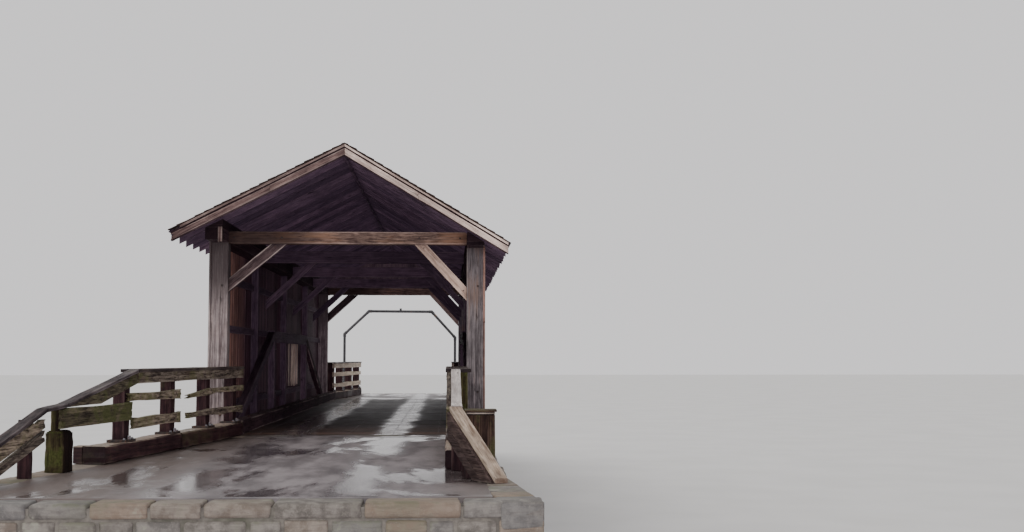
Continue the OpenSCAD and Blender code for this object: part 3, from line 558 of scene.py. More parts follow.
        rnd = r.random() if tint is None else tint
        shift = r.random() * 40
        th = (t1 - t0) / 2
        g = np.concatenate([np.stack([a[:, 0] + shift, np.full(n, t - (t0 + t1) / 2), a[:, 1] - mid[1]], -1) if along == 0
                            else np.stack([a[:, 1] + shift, np.full(n, t - (t0 + t1) / 2), a[:, 0] - mid[0]], -1) for a, t in rows])
        hh = half[1] if along == 0 else half[0]
        b = np.tile([th, hh, rnd], (4 * n, 1))
        e = half[0] - np.abs(np.concatenate([a[:, 0] for a, _ in rows]) - mid[0]) if along == 0 else \
            half[1] - np.abs(np.concatenate([a[:, 1] for a, _ in rows]) - mid[1])
        w = np.stack([np.maximum(e, 0), np.zeros(4 * n), np.full(4 * n, outer_face)], -1)
        i = np.arange(n)
        j = (i + 1) % n
        # with distance along x, thickness y and height z, an anticlockwise outline seen along +y faces -y
        faces = [i, 3 * n + i[::-1]]
        for q in range(3):
            faces.append(np.stack([q * n + i, (q + 1) * n + i, (q + 1) * n + j, q * n + j], -1))
        s.add(frame3(v), g, b, w, faces, mat)

    def block(s, corners, mat=0, round_=0.02, lump=0.006, tint=None, smooth=True):
        """A rounded stone between 8 corners: 4 of the foot, anticlockwise from above, then 4 of the top."""
        r = s.rng
        c = np.asarray(corners, float)
        sx = (np.linalg.norm(c[1] - c[0]) + np.linalg.norm(c[2] - c[3])) / 2
        sy = (np.linalg.norm(c[3] - c[0]) + np.linalg.norm(c[2] - c[1])) / 2
        sz = np.linalg.norm(c[4] - c[0])
        size = np.array([sx, sy, sz])
        rr = np.minimum(round_ / size, 0.3)
        T, Q = TEMPLATE
        u = np.where(T == 0, 0.0, np.where(T == 1, rr, np.where(T == 2, 1 - rr, 1.0)))
        inner = np.clip(u, rr, 1 - rr)
        d = (u - inner) / rr
        u = inner + rr * d / np.maximum(np.linalg.norm(d, axis=1, keepdims=True), 1e-9)
        x, y, z = u[:, :1], u[:, 1:2], u[:, 2:]
        v = ((c[0] * (1 - x) * (1 - y) + c[1] * x * (1 - y) + c[2] * x * y + c[3] * (1 - x) * y) * (1 - z)
             + (c[4] * (1 - x) * (1 - y) + c[5] * x * (1 - y) + c[6] * x * y + c[7] * (1 - x) * y) * z)
        centre = v.mean(0)
        v = v + (centre - v) * np.abs(r.normal(size=(len(v), 1))) * lump / size.mean()
        rnd = r.random() if tint is None else tint
        s.add(v, np.tile([0, 0, 0.0], (len(v), 1)), np.tile([size[0] / 2, size[2] / 2, rnd], (len(v), 1)),
              np.tile([1.0, 0, 1.0], (len(v), 1)), [Q], mat, smooth)

    def disc(s, at, axis, radius, height, sides=6, mat=0, dome=0.0):
        """A bolt head or nail head standing on a surface at `at`, out along axis."""
        ax = unit(axis)
        a = unit(np.cross(ax, [0.31, 0.77, 0.55]))
        b = np.cross(ax, a)
        t = np.arange(sides) * 2 * math.pi / sides + s.rng.random()
        ring = np.cos(t)[:, None] * a + np.sin(t)[:, None] * b
        at = np.asarray(at, float)
        v = np.concatenate([at - ax * 0.004 + ring * radius, at + ax * height * 0.75 + ring * radius,
                            at + ax * height + ring * radius * (0.8 - dome)])
        i = np.arange(sides)
        j = (i + 1) % sides
        faces = [np.stack([i, j, sides + j, sides + i], -1), np.stack([sides + i, sides + j, 2 * sides + j, 2 * sides + i], -1),
                 2 * sides + i, i[::-1].copy()]
        k = len(v)
        s.add(v, np.zeros((k, 3)), np.tile([radius, radius, s.rng.random()], (k, 1)), np.tile([1.0, 0, 1.0], (k, 1)), faces, mat)

    def make(s):
        v = np.concatenate(s.v) + np.array([OX, OY, DZ])
        me = bpy.data.meshes.new(s.name)
        me.vertices.add(len(v))
        me.vertices.foreach_set("co", v.astype(np.float32).ravel())
        total = sum(f.size for f in s.f)
        count = sum(len(f) for f in s.f)
        me.loops.add(total)
        me.loops.foreach_set("vertex_index", np.concatenate([f.ravel() for f in s.f]).astype(np.int32))
        sizes = np.concatenate([np.full(len(f), f.shape[1]) for f in s.f])
        me.polygons.add(count)
        me.polygons.foreach_set("loop_start", (np.cumsum(sizes) - sizes).astype(np.int32))
        me.polygons.foreach_set("loop_total", sizes.astype(np.int32))
        me.polygons.foreach_set("material_index", np.concatenate(s.fm).astype(np.int32))
        me.polygons.foreach_set("use_smooth", np.concatenate(s.fs))
        for name, data in (("grain", s.g), ("board", s.b), ("wear", s.w)):
            a = me.attributes.new(name, "FLOAT_VECTOR", "POINT")
            a.data.foreach_set("vector", np.concatenate(data).astype(np.float32).ravel())
        for m in s.mats:
            me.materials.append(m)
        me.update(calc_edges=True)
        me.validate()
        o = bpy.data.objects.new(s.name, me)
        bpy.context.scene.collection.objects.link(o)
        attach(o, "root")
        if s.nodes:
            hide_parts(*s.nodes)
        return o


def _template():
    """A cube's surface as a 4 x 4 grid of points on each side, and its faces, turned outward."""
    ids, pts, quads = {}, [], []

    def at(p):
        if p not in ids:
            ids[p] = len(pts)
            pts.append(p)
        return ids[p]
    for axis in range(3):
        for side in (0, 3):
            for i in range(3):
                for j in range(3):
                    q = []
                    for di, dj in ((0, 0), (1, 0), (1, 1), (0, 1)):
                        p = [0, 0, 0]
                        p[axis], p[(axis + 1) % 3], p[(axis + 2) % 3] = side, i + di, j + dj
                        q.append(at(tuple(p)))
                    quads.append(q if side else q[::-1])
    return np.array(pts), np.array(quads)


TEMPLATE = _template()
X, Y, Z = np.eye(3)


# ---------------------------------------------------------------- floor and trusses
def floor_and_frames():
    o = Pile("bearing_timbers_pair", ["frame", "iron"], "dark_timber", ["bearing_timbers"], 11)
    for s in (-1, 1):
        for k in (0.15, 0.452):
            y = s * (HALF - k - 0.149)
            o.board((-2.6, y, -0.5), (2.6, y, -0.5), Y, 0.296, 0.3, c=0.012, bow=0.0, rough=0.001)
    o.make()
    o = Pile("floor_beam_set", ["frame", "iron"], "dark_timber", ["floor_beams"], 12)
    for k in range(1, 6):
        y = -HALF + k * 3.25
        o.board((-2.6, y, -0.5), (2.6, y, -0.5), Y, 0.26, 0.3, c=0.012, bow=0.0, rough=0.001)
        for x in (-2.25, 2.25):      # hanger rods' nuts and plates under the beam
            o.board((x - 0.09, y, -0.656), (x + 0.09, y, -0.656), Y, 0.16, 0.012, mat=1, bow=0, rough=0)
            o.disc((x, y, -0.662), -Z, 0.028, 0.03, mat=1)
    o.make()
    o = Pile("lower_chord_timbers", ["frame", "iron"], "dark_timber", ["lower_chords"], 13)
    for s in (-1, 1):
        for ply, joints in ((0, [-HALF, -3.0, 3.4, HALF]), (1, [-HALF, -6.0, 0.4, 6.6, HALF])):
            x = s * (INX + 0.0755 + ply * 0.149)
            for a, b in zip(joints, joints[1:]):
                o.board((x, a + 0.003, -0.176), (x, b - 0.003, -0.176), X, 0.146, 0.344, c=0.01, bow=0.0, rough=0.001)
    for s in (-1, 1):
        for y in np.arange(-9.3, 9.6, 1.15):
            for z in (-0.11, -0.25):
                o.disc((s * (INX - 0.001), y + (0.2 if z < -0.2 else 0), z), -s * X, 0.022, 0.02, mat=1)
    o.make()
    o = Pile("stringer_set", ["frame"], "dark_timber", ["stringers"], 14)
    for x in np.arange(-1.6, 1.7, 0.8):
        for a, b in ((-HALF, -3.25), (-3.25, 3.25), (3.25, HALF)):
            o.board((x, a + 0.003, -0.2125), (x, b - 0.003, -0.2125), X, 0.15, 0.272, c=0.008, bow=0, rough=0.001)
    o.make()
    o = Pile("deck_planking", ["deck", "zinc"], "deck_planks", ["deck"], 15)
    y = -HALF
    while y < HALF - 0.05:
        w = min(o.rng.uniform(0.20, 0.30), HALF - y)
        if HALF - (y + w) < 0.12:
            w = HALF - y
        lift = -abs(o.rng.normal()) * 0.003
        o.board((-2.1, y + w / 2, -0.0375 + lift), (2.1, y + w / 2, -0.0375 + lift), Z, 0.074, w - 0.009, c=0.007, bow=0.0012, rough=0.0008, seg=0.3)
        for x in np.arange(-1.6, 1.7, 0.8):
            for dy in (0.3, 0.7):
                o.disc((x + o.rng.normal() * 0.012, y + w * dy, lift + 0.0005), Z, 0.008, 0.0015, mat=1)
        y += w
    o.make()
    o = Pile("wheel_guard_timbers", ["guard", "iron"], "dark_timber", ["wheel_guards"], 16)
    for s in (-1, 1):
        for a, b in ((-HALF, -5.4), (-5.4, -0.7), (-0.7, 4.3), (4.3, HALF)):
            o.board((s * 1.976, a + 0.01, 0.124), (s * 1.976, b - 0.01, 0.124), X, 0.244, 0.244, c=0.014, bow=0.003, rough=0.002, rag=(0.01, 0.01), rows=2)
            for y in np.arange(a + 0.5, b, 1.3):
                o.disc((s * 1.976, y, 0.2445), Z, 0.03, 0.006, sides=10, mat=1)
                o.disc((s * 1.976, y, 0.25), Z, 0.016, 0.016, mat=1)
    o.make()
    q = 2 * HALF / 3
    o = Pile("queen_post_timbers", ["frame", "iron"], "dark_timber", ["queen_posts"], 17)
    for s in (-1, 1):
        for e in (-1, 1):
            y = e * (HALF - q)
            o.board((s * 2.176, y, 0), (s * 2.176, y, 1.95), X, 0.148, 0.198, c=0.008, rough=0.001, bow=0)
            for z in (1.55, 1.78, 0.3, 0.55):
                o.disc((s * (INX + 0.002), y, z), -s * X, 0.022, 0.02, mat=1)
    o.make()
    o = Pile("straining_beam_pair", ["frame"], "dark_timber", ["straining_beams"], 18)
    for s in (-1, 1):
        o.board((s * 2.176, -(HALF - q - 0.1), 1.825), (s * 2.176, HALF - q - 0.1, 1.825), X, 0.148, 0.248, c=0.008, rough=0.001, bow=0)
    o.make()
    o = Pile("main_braces", ["guard", "frame"], "dark_timber", ["truss_braces"], 19)
    for s in (-1, 1):
        for e in (-1, 1):
            p = np.array([s * 2.176, e * (HALF - 1.115), 0.0])
            r = np.array([s * 2.176, e * (HALF - q + 0.1), 1.815])
            slope = unit(r - p)
            depth = 0.73 * slope[2]
            o.board(p, r, X, 0.148, depth * 0.86, cut0=Z, cut1=Y, c=0.01, bow=0, rough=0.001, mat=0 if e > 0 else 1)
    o.make()
    o = Pile("wall_post_set", ["frame"], "dark_timber", ["wall_posts"], 20)
    for k in (1, 2, 3):
        y = -HALF + k * 4.875
        o.board((-2.326, y, 0), (-2.326, y, PLATE_L), X, 0.148, 0.178, c=0.008, rough=0.001, bow=0.002)
        o.board((2.326, y, 0), (2.326, y, PLATE_R), X, 0.148, 0.178, c=0.008, rough=0.001, bow=0.002)
    o.make()
    o = Pile("siding_nailers", ["frame"], "dark_timber", ["girts"], 21)
    rows = [(-HALF + 0.3, -HALF + 4.785), (-HALF + 4.965, -0.09), (0.09, HALF - 4.965), (HALF - 4.785, HALF - 0.3)]
    for s in (-1, 1):
        for z in (0.49, 1.89, 2.82):
            for a, b in rows:
                o.board((s * 2.37, a, z), (s * 2.37, b, z), X, 0.058, 0.138, c=0.005, rough=0.001, bow=0.0)
    o.make()


# ---------------------------------------------------------------- portals
def skin_under(x, t):
    return RIDGE - SKIN * math.sqrt(1 + t * t) - x * t


def portals():
    o = Pile("portal_post_set", ["post", "iron", "post_r"], "portal_timber", ["portal_posts"], 30)
    for e in (-1, 1):
        for s, top in ((-1, PLATE_L), (1, PLATE_R)):
            o.board((s * 2.25, e * 9.6, 0.0), (s * 2.25, e * 9.6, top), X, 0.296, 0.296, c=0.013, rows=2, rough=0.0018, bow=0.0, seg=0.25,
                    tint=0.55, mat=0 if s < 0 else 2)
            for z in (0.35, 0.75, 2.62):
                o.disc((s * 2.25 + 0.05, e * 9.75 - e * 0.003, z), e * Y, 0.022, 0.014, mat=1)
    o.make()
    o = Pile("wall_plate_pair", ["plate", "rake_l"], "dark_timber", ["wall_plates"], 31)
    for s, z, t in ((-1, PLATE_L, TL), (1, PLATE_R, TR)):
        zo = skin_under(OUTX, t) - RAFT * math.sqrt(1 + t * t)
        zi = skin_under(INX, t) - RAFT * math.sqrt(1 + t * t)
        for a, b in ((-HALF - 0.62, -2.9), (-2.9, 3.7), (3.7, HALF + 0.62)):
            h = zo - z
            o.board((s * 2.25, a + 0.002, z + h / 2), (s * 2.25, b - 0.002, z + h / 2), X, 0.298, h, c=0.008, rough=0.001, bow=0)
            # the part above it that is cut to the roof slope
            pts = [(INX + 0.003, z + h), (OUTX - 0.003, z + h), (OUTX - 0.004, zo + 0.002), (INX + 0.003, zi - 0.002)]
            if s < 0:
                pts = [(-x, y) for x, y in pts[::-1]]
            o.slab(pts, lambda v: v, a + 0.004, b - 0.004, c=0.002, wave=0, step=9)
    # short upright stub on the near left plate's end
    o.board((-2.138, -HALF - 0.645, 3.325), (-2.138, -HALF - 0.645, 3.60), Y, 0.04, 0.07, c=0.004, rag=(0.015, 0.01), rows=2, mat=1)
    o.make()
    o = Pile("tie_beam_set", ["tie", "frame", "iron"], "portal_timber", ["tie_beams"], 32)
    for e in (-1, 1):
        o.board((-2.1, e * 9.605, TIE_Z + 0.11), (2.1, e * 9.605, TIE_Z + 0.11), Y, 0.246, 0.216, c=0.01, rows=1, rough=0.0016, bow=0.002, seg=0.3, tint=0.5)
        for x in (-2.0, 1.98, -1.17, 1.26):
            o.disc((x, e * 9.73, TIE_Z + 0.11), e * Y, 0.018, 0.012, mat=2)
    for k in (1, 2, 3):
        y = -HALF + k * 4.875
        o.board((-2.1, y, TIE_Z + 0.125), (2.1, y, TIE_Z + 0.125), Y, 0.178, 0.248, c=0.008, rough=0.001, bow=0.002, mat=1)
    o.make()
    o = Pile("knee_brace_set", ["brace_l", "brace_r", "frame", "iron"], "portal_timber", ["knee_braces"], 33)
    spots = [(-9.63, 0.24, 2.51, 1.1, 0, 1), (9.63, 0.30, 2.48, 1.14, 0, 1)]
    spots += [(-HALF + k * 4.875, 0.22 if k == 3 else 0.19, 2.37, 1.03, 2, 2) for k in (1, 2, 3)]
    for y, h, fl, rl, ml, mr in spots:
        for s, foot, lo, m in ((-1, fl, -rl, ml), (1, 2.36, 1.155, mr)):
            top = lo + (-1 if s < 0 else 1) * h * (1.08 if s < 0 else 1.06)
            p, q = np.array([s * 2.1, y, foot + h / 2]), np.array([(lo + top) / 2, y, TIE_Z])
            ax = unit(q - p)
            o.board(p, q, Y, 0.118, h * abs(ax[0]) * 0.985, cut0=X, cut1=Z, c=0.007, rows=2, rough=0.0015, bow=0.002, seg=0.15, mat=m)
            if abs(y) > 9:
                n = np.sign(y) * Y
                for f in (0.07, 0.93):
                    o.disc(p + (q - p) * f + n * 0.059, n, 0.012, 0.008, mat=3)
    o.make()


def far_gable():
    o = Pile("far_gable_boards", ["gable", "iron"], "siding_boards", ["far_gable"], 35)
    r = o.rng

    def top(x):
        return skin_under(abs(x), TL if x < 0 else TR) - 0.003

    def foot(x):
        if abs(x) < INX:
            return TIE_Z
        return skin_under(abs(x), TL if x < 0 else TR) - RAFT * math.sqrt(1 + (TL if x < 0 else TR) ** 2) + 0.003

    def at(v):
        return np.stack([v[:, 0], HALF - 0.020 + v[:, 1], v[:, 2]], -1)
    def batten(x):
        a, b = x - 0.027, x + 0.027
        if abs(x) < 0.01:
            o.slab([(a, TIE_Z), (b, TIE_Z), (b, 4.758), (a, 4.758)], at, 0.001, 0.009, c=0.002, along=1, wave=0.001, step=0.5)
            return
        lo = max(foot(a), foot(x), foot(b))
        if abs(abs(x) - INX) < 0.03:
            lo = max(foot(x + 0.01), foot(x - 0.01), foot(a), foot(b))
        o.slab([(a, lo), (b, lo), (b, top(b)), (a, top(a))], at, 0.001, 0.009, c=0.002, along=1, wave=0.001, step=0.5)
    x = -OUTX
    stops = [-INX, 0.0, INX, OUTX]
    while x < OUTX - 0.001:
        w = r.uniform(0.17, 0.26)
        stop = [q for q in stops if q > x + 1e-6][0]
        if stop - (x + w) < 0.09:
            w = stop - x
        a, b = x + 0.003, x + w - 0.003
        low = r.uniform(0.0, 0.012) if abs((a + b) / 2) < INX else 0.0
        pts = [(a, foot(a) + low), (b, foot(b) + low), (b, top(b)), (a, top(a))]
        notch = 4.955 - 0.19
        if a < 0.022 and b > -0.022:       # beside the ridge board
            if b < 0.1:
                pts = [(a, foot(a) + low), (b, foot(b) + low), (b, notch), (-0.023, notch), (-0.023, top(-0.023)), (a, top(a))]
            else:
                pts = [(a, foot(a) + low), (b, foot(b) + low), (b, top(b)), (0.023, top(0.023)), (0.023, notch), (a, notch)]
        o.slab(pts, at, 0.009, 0.024, c=0.003, along=1, wave=0.001, jag=0.012, jag_at=(0,) if low else ())
        if x > -OUTX + 0.01:
            batten(x)
        for z in (TIE_Z + 0.06, TIE_Z + 0.17):
            if abs((a + b) / 2) < INX:
                for f in (0.25, 0.75):
                    o.disc((a + (b - a) * f, HALF + 0.004, z), Y, 0.006, 0.003, mat=1)
        x += w
    o.make()


# ---------------------------------------------------------------- roof
def roof():
    ry0, n = -HALF - OVER + 0.045, 36
    step = (2 * (HALF + OVER) - 0.09 - 0.05) / (n - 1)
    o = Pile("rafter_pairs", ["rafter", "rake"], "dark_timber", ["rafters"], 40)
    for i in range(n):
        y = ry0 + i * step + 0.025
        for s, t, eave in ((-1, TL, EAVE_L - 0.05), (1, TR, EAVE_R - 0.045)):
            k = math.sqrt(1 + t * t)
            za = skin_under(0.02, t) - RAFT * k / 2 - 0.001
            zb = skin_under(eave, t) - RAFT * k / 2 - 0.001
            cut = o.rng.uniform(-0.03, 0.0) if 0 < i < n - 1 else 0
            f = 1 + cut / eave
            o.board((s * 0.02, y, za), (s * eave * f, y, zb + (za - zb) * (1 - f)), Y, 0.049, RAFT - 0.002, cut0=X, cut1=X, c=0.004,
                    rough=0.0008, bow=0.002, seg=0.8, outer_face=1.0)
    o.make()
    o = Pile("ridge_plank", ["rafter"], "dark_timber", ["ridge_board"], 41)
    zt, zb = skin_under(0.02, TR), skin_under(0.02, TR) - RAFT * math.sqrt(1 + TR * TR) - 0.02
    for a, b in ((ry0, -4.6), (-4.6, 1.2), (1.2, 6.1), (6.1, -ry0)):
        o.board((0, a + 0.001, (zt + zb) / 2), (0, b - 0.001, (zt + zb) / 2), X, 0.038, zt - zb - 0.006, c=0.003, rough=0.0006, bow=0)
    o.make()
    for s, t, eave, node, seed in ((-1, TL, EAVE_L, "left_roof", 42), (1, TR, EAVE_R, "right_roof", 43)):
        k = math.sqrt(1 + t * t)
        slope = eave * k
        o = Pile(node + "_shakes", ["shake", "sheath", "shake_edge"], "shakes", [node], seed)
        down = np.array([s / k, 0, -t / k])
        out = np.array([s * t / k, 0, 1 / k])
        ridge = np.array([0, 0, RIDGE - SKIN * k])       # the underside at the ridge
        # skip sheathing along the roof
        d = 0.06
        y0, y1 = -HALF - OVER + 0.05, HALF + OVER - 0.05
        while d < slope - 0.03:
            w = o.rng.uniform(0.085, 0.11)
            cuts = [y0, y0 + o.rng.uniform(4, 6), y0 + o.rng.uniform(9, 12), y0 + o.rng.uniform(15, 18), y1]
            for a, b in zip(cuts, cuts[1:]):
                c0 = ridge + down * min(d + w / 2, slope - 0.055) + out * 0.0105
                o.board(c0 + Y * (a + 0.002), c0 + Y * (b - 0.002), out, 0.019, w, c=0.002, rough=0.0006, bow=0.001, seg=1.2, mat=1)
            d += w + o.rng.uniform(0.055, 0.08)
        shakes(o, ridge, down, out, slope, -HALF - OVER, HALF + OVER)
        o.make()
    for end, node, seed in ((-1, "near_rake_boards", 44), (1, "far_rake_boards", 45)):
        o = Pile(node.replace("_boards", "_trim"), ["rake", "plate", "rake_l", "shake_edge"], "rake_timber", [node], seed)
        yo = HALF + OVER
        for s, t, x1 in ((-1, TL, EAVE_L - 0.045), (1, TR, EAVE_R - 0.04)):
            def at(v, s=s, t=t, end=end):
                # distance along the slope in plan, thickness back from the gable face, height above the skin's underside
                x = v[:, 0]
                return np.stack([s * x, end * (yo - v[:, 1]), RIDGE - SKIN * math.sqrt(1 + t * t) - x * t + v[:, 2]], -1)
            o.flip = (s * end) > 0
            cuts = [0.0, o.rng.uniform(1.2, 1.7), x1]
            bare = 2 if s < 0 else 0
            for a, b in zip(cuts, cuts[1:]):
                tail = b == x1
                o.slab([(a + 0.001, -0.160), (b - 0.001, -0.160), (b - 0.001, -0.046), (a + 0.001, -0.046)], at, 0.004, 0.042, c=0.004,
                       wave=0.004, step=0.22, jag=0.05 if tail and s < 0 else 0.006, jag_at=(1,) if tail else (), tint=0.5, mat=bare)
            # a recessed strip in the near-black plate timber under the broad board: painted shade along its lower edge
            o.slab([(0.001, -0.185), (x1 - 0.03, -0.185), (x1 - 0.03, -0.150), (0.001, -0.150)], at, 0.012, 0.040, c=0.003, wave=0.004, step=0.3, mat=1)
            # narrow trim over the edge of the sheathing
            o.slab([(0.001, -0.020), (x1 - (0.15 if s < 0 else 0.0), -0.020), (x1 - (0.15 if s < 0 else 0.0), 0.021), (0.001, 0.021)], at,
                   -0.012, 0.02, c=0.003, wave=0.003, step=0.3, jag=0.012, jag_at=(1,), tint=0.8, mat=bare)
            # a recessed strip in the near-black plate timber between the trim and the broad board: a painted shadow
            # line
            o.slab([(0.001, -0.060), (x1, -0.060), (x1, -0.005), (0.001, -0.005)], at, 0.016, 0.040, c=0.002, wave=0, step=9, mat=1)
            # the dark, split edge of the shakes over it
            o.slab([(0.001, 0.019), (x1 - 0.02, 0.019), (x1 - 0.02, 0.050), (0.001, 0.050)], at, -0.002, 0.02, c=0.002, wave=0.005, step=0.12, mat=3)
        o.flip = False
        o.make()


def shakes(o, ridge, down, out, slope, y0, y1):
    """Courses of split shakes from the eave up, each a thin wedge with its butt down the roof."""
    r = o.rng
    e, length, tb, tt = 0.172, 0.43, 0.0115, 0.003
    rows = int(slope / e) + 1
    V, G, B, W = [], [], [], []
    for k in range(rows):
        butt = slope - 0.004 - k * e
        y = y0 - 0.012 + r.uniform(-0.02, 0.0)
        while y < y1 + 0.004:
            w = r.choice([r.uniform(0.08, 0.12), r.uniform(0.11, 0.19)])
            if r.random() < 0.985:
                b = butt + (r.normal() * 0.006 if k else -abs(r.normal()) * 0.006)
                b = min(b, slope - 0.003)
                top = max(b - length, 0.0)
                ww = w - r.uniform(0.003, 0.009)
                th = tb + r.uniform(-0.002, 0.002)
                lift = 0.021 + r.uniform(-0.0015, 0.0015)
                lt = 0.021 * max(0.0, 1 - (b - top) / length) + 0.0015
                skew = r.normal() * 0.003
                cup = r.normal() * 0.0012
                ys = np.array([0.0, 0.5, 1.0]) * ww + y
                jb = r.normal(size=3) * 0.003
                pts = []
                for i, yy in enumerate(ys):
                    c = cup if i == 1 else 0.0
                    pts.append((b + jb[i], yy, 0.020 + lift))                      # butt, under
                    pts.append((b + jb[i] * 1.2 - 0.001, yy, 0.020 + lift + th + c + (r.normal() * 0.0006)))    # butt, top
                    pts.append((top, yy + skew, 0.020 + lt + tt + c))              # head, top
                    pts.append((top, yy + skew, 0.020 + lt))                       # head, under
                V.append(pts)
                rnd = r.random()
                sh = r.random() * 40
                G.append([(p[0] + sh, p[2] - 0.04, p[1] - y - ww / 2) for p in pts])
                B.append([(th / 2, ww / 2, rnd)] * 12)
                W.append([(0.06 if i % 4 < 2 else 0.4, 0.0, 1.0) for i in range(12)])
            y += w
    V = np.array(V)
    n = len(V)
    P = ridge + V[..., :1] * down + V[..., 2:] * out + V[..., 1:2] * Y
    P = P.reshape(-1, 3)
    P[:, 2] = np.minimum(P[:, 2], RIDGE - 0.001)
    eave = slope * abs(down[0])
    P[:, 0] = np.clip(P[:, 0], -eave, eave)
    # columns a, b, c of (butt under, butt top, head top, head under)
    q = []
    for a, b in ((0, 4), (4, 8)):
        q += [(a + 1, a + 2, b + 2, b + 1), (a, a + 1, b + 1, b), (a + 3, a, b, b + 3), (a + 2, a + 3, b + 3, b + 2)]
    q += [(0, 3, 2, 1), (8, 9, 10, 11)]
    q = np.array(q)
    if down[0] > 0:
        q = q[:, ::-1]
    F = (np.arange(n)[:, None, None] * 12 + q[None]).reshape(-1, 4)
    o.add(P, np.array(G).reshape(-1, 3), np.array(B).reshape(-1, 3), np.array(W).reshape(-1, 3), [F], 0)
    # their split sides are darker than their faces
    o.fm[-1] = np.tile(np.where(np.arange(len(q)) >= len(q) - 2, 2, 0), n)


# ---------------------------------------------------------------- siding
def siding():
    for s, t, node, seed in ((-1, TL, "left_siding", 50), (1, TR, "right_siding", 51)):
        o = Pile(node + "_planks", ["siding", "iron", "post"], "siding_boards", [node], seed)
        r = o.rng
        top = skin_under(OUTX + 0.03, t) - RAFT * math.sqrt(1 + t * t) - 0.002
        wy0, wy1, wz0, wz1 = 1.15, 3.65, 0.70, 1.68
        y = -HALF
        while y < HALF - 0.02:
            w = min(r.uniform(0.19, 0.30), HALF - y)
            if HALF - (y + w) < 0.12:
                w = HALF - y
            a, b = y, y + w
            gap = r.uniform(0.003, 0.010)
            z0 = -0.35 + r.uniform(0.0, 0.05)
            inside = a < wy1 - 0.02 and b > wy0 + 0.02
            if inside:
                spans = [(z0, wz0), (wz1, top)]
            else:
                spans = [(z0, top)]
            if not inside and (a < wy0 < b or a < wy1 < b):
                spans = [(z0, wz0), (wz1, top)]
            tint = r.random()
            for lo, hi in spans:
                low_cut = lo == z0
                o.board((s * 2.4155, (a + b) / 2, lo), (s * 2.4155, (a + b) / 2, hi), X * s, 0.024 + r.uniform(-0.002, 0.002), w - gap, c=0.003,
                        rows=4 if low_cut else 0, rag=(0.02 if low_cut else 0, 0.0), bow=0.003, rough=0.0006, seg=0.6, tint=tint)
                for z in (0.49, 1.89, 2.82):
                    if lo + 0.03 < z < hi - 0.03:
                        for f in (-0.3, 0.3):
                            o.disc((s * 2.428, (a + b) / 2 + f * w, z + r.normal() * 0.015), s * X, 0.006, 0.003, mat=1)
            y += w
        # narrow corner boards over the portal corners
        for e in (-1, 1):
            o.board((s * 2.4145, e * (HALF + 0.012), 1.96 if e < 0 < s else -0.3), (s * 2.4145, e * (HALF + 0.012), top - 0.03), X, 0.032, 0.022, c=0.003,
                    rag=(0.03, 0.0), rows=1, mat=2 if s < 0 else 0, bow=0.002)
        # window casing
        for z in (wz0 - 0.045, wz1 + 0.045):
            o.board((s * 2.437, wy0 - 0.10, z), (s * 2.437, wy1 + 0.10, z), X, 0.022, 0.09, c=0.003, bow=0.001, mat=0, tint=0.9)
        for yy in (wy0 - 0.045, wy1 + 0.045):
            o.board((s * 2.437, yy, wz0), (s * 2.437, yy, wz1), X, 0.022, 0.09, c=0.003, bow=0.001, mat=0, tint=0.85)
        # the face towards the road takes painted light by the near portal and painted shade further in
        for g, w_ in zip(o.g, o.w):
            w_[:, 2] = np.where(g[:, 1] > 0, 1.0, 0.0)
        o.make()
    o = Pile("window_slat_boards", ["slat", "siding"], "siding_boards", ["window_slats"], 52)
    for s in (-1, 1):
        for i in range(8):
            y, w = 1.15 + (0.065 + 0.124 * i) * 2.5, 0.27 - 0.012 * (i % 3)
            lift = o.rng.uniform(-0.02, 0.0)
            o.board((s * 2.385, y, 0.585 + 0.05 * o.rng.random()), (s * 2.385, y, 1.81 + lift), X * s, 0.026, w - 0.004, c=0.004, rows=3, rag=(0.02, 0.02),
                    bow=0.003, rough=0.0008, mat=1 if i in (0, 2) else 0, tint=0.1 if i == 1 else None)
    # the face towards the road takes the painted light
    for g, w_ in zip(o.g, o.w):
        w_[:, 2] = np.where(g[:, 1] > 0, 1.0, 0.0)
    o.make()


# ---------------------------------------------------------------- railings
class Line:
    """A straight stretch of railing: (distance, outward, height) to bridge coordinates."""

    def __init__(s, p, q, side=1, end=-1):
        s.p, s.side, s.end = p, side, end
        a = math.atan2(q[1] - p[1], q[0] - p[0])
        s.c, s.s = math.cos(a), math.sin(a)
        s.flip = (side * end) > 0

    def __call__(s, v):
        v = np.atleast_2d(np.asarray(v, float))
        d, u, z = v[:, 0] - s.p[0], v[:, 1], v[:, 2]
        x = s.p[1] + u * s.c + d * s.s
        y = HALF + s.p[0] - u * s.s + d * s.c
        return np.stack([s.side * x, s.end * y, z], -1)


def cap_top(d, p4, e):
    if e == 0.06:       # near left
        return float(np.interp(d, [0, P1, LP2, LP3, p4], [CAP_Z, CAP_Z, 0.815, LC3, e]))
    return float(np.interp(d, [0, P1, P2, P3, p4], [CAP_Z, CAP_Z, 0.815, 0.795, e]))


def plank(o, line, pts, u0, u1, **k):
    """A railing board: its outline is given as (distance, height), anticlockwise seen from the road."""
    o.put, o.flip = (lambda v: v), line.flip
    o.slab(pts, line, u0, u1, **k)
    o.flip = False


def quad(d0, d1, z0a, z1a, z0b=None, z1b=None):
    z0b, z1b = (z0a if z0b is None else z0b), (z1a if z1b is None else z1b)
    return [(d0, z0a), (d1, z0b), (d1, z1b), (d0, z1a)]


def stick(o, line, a, b, face, w, h, **k):
    """A board between two (distance, outward, height) points of a railing line."""
    p, q = line(a)[0], line(b)[0]
    f = line(np.array(a) + np.array(face))[0] - p
    o.board(p, q, f, w, h, **k)


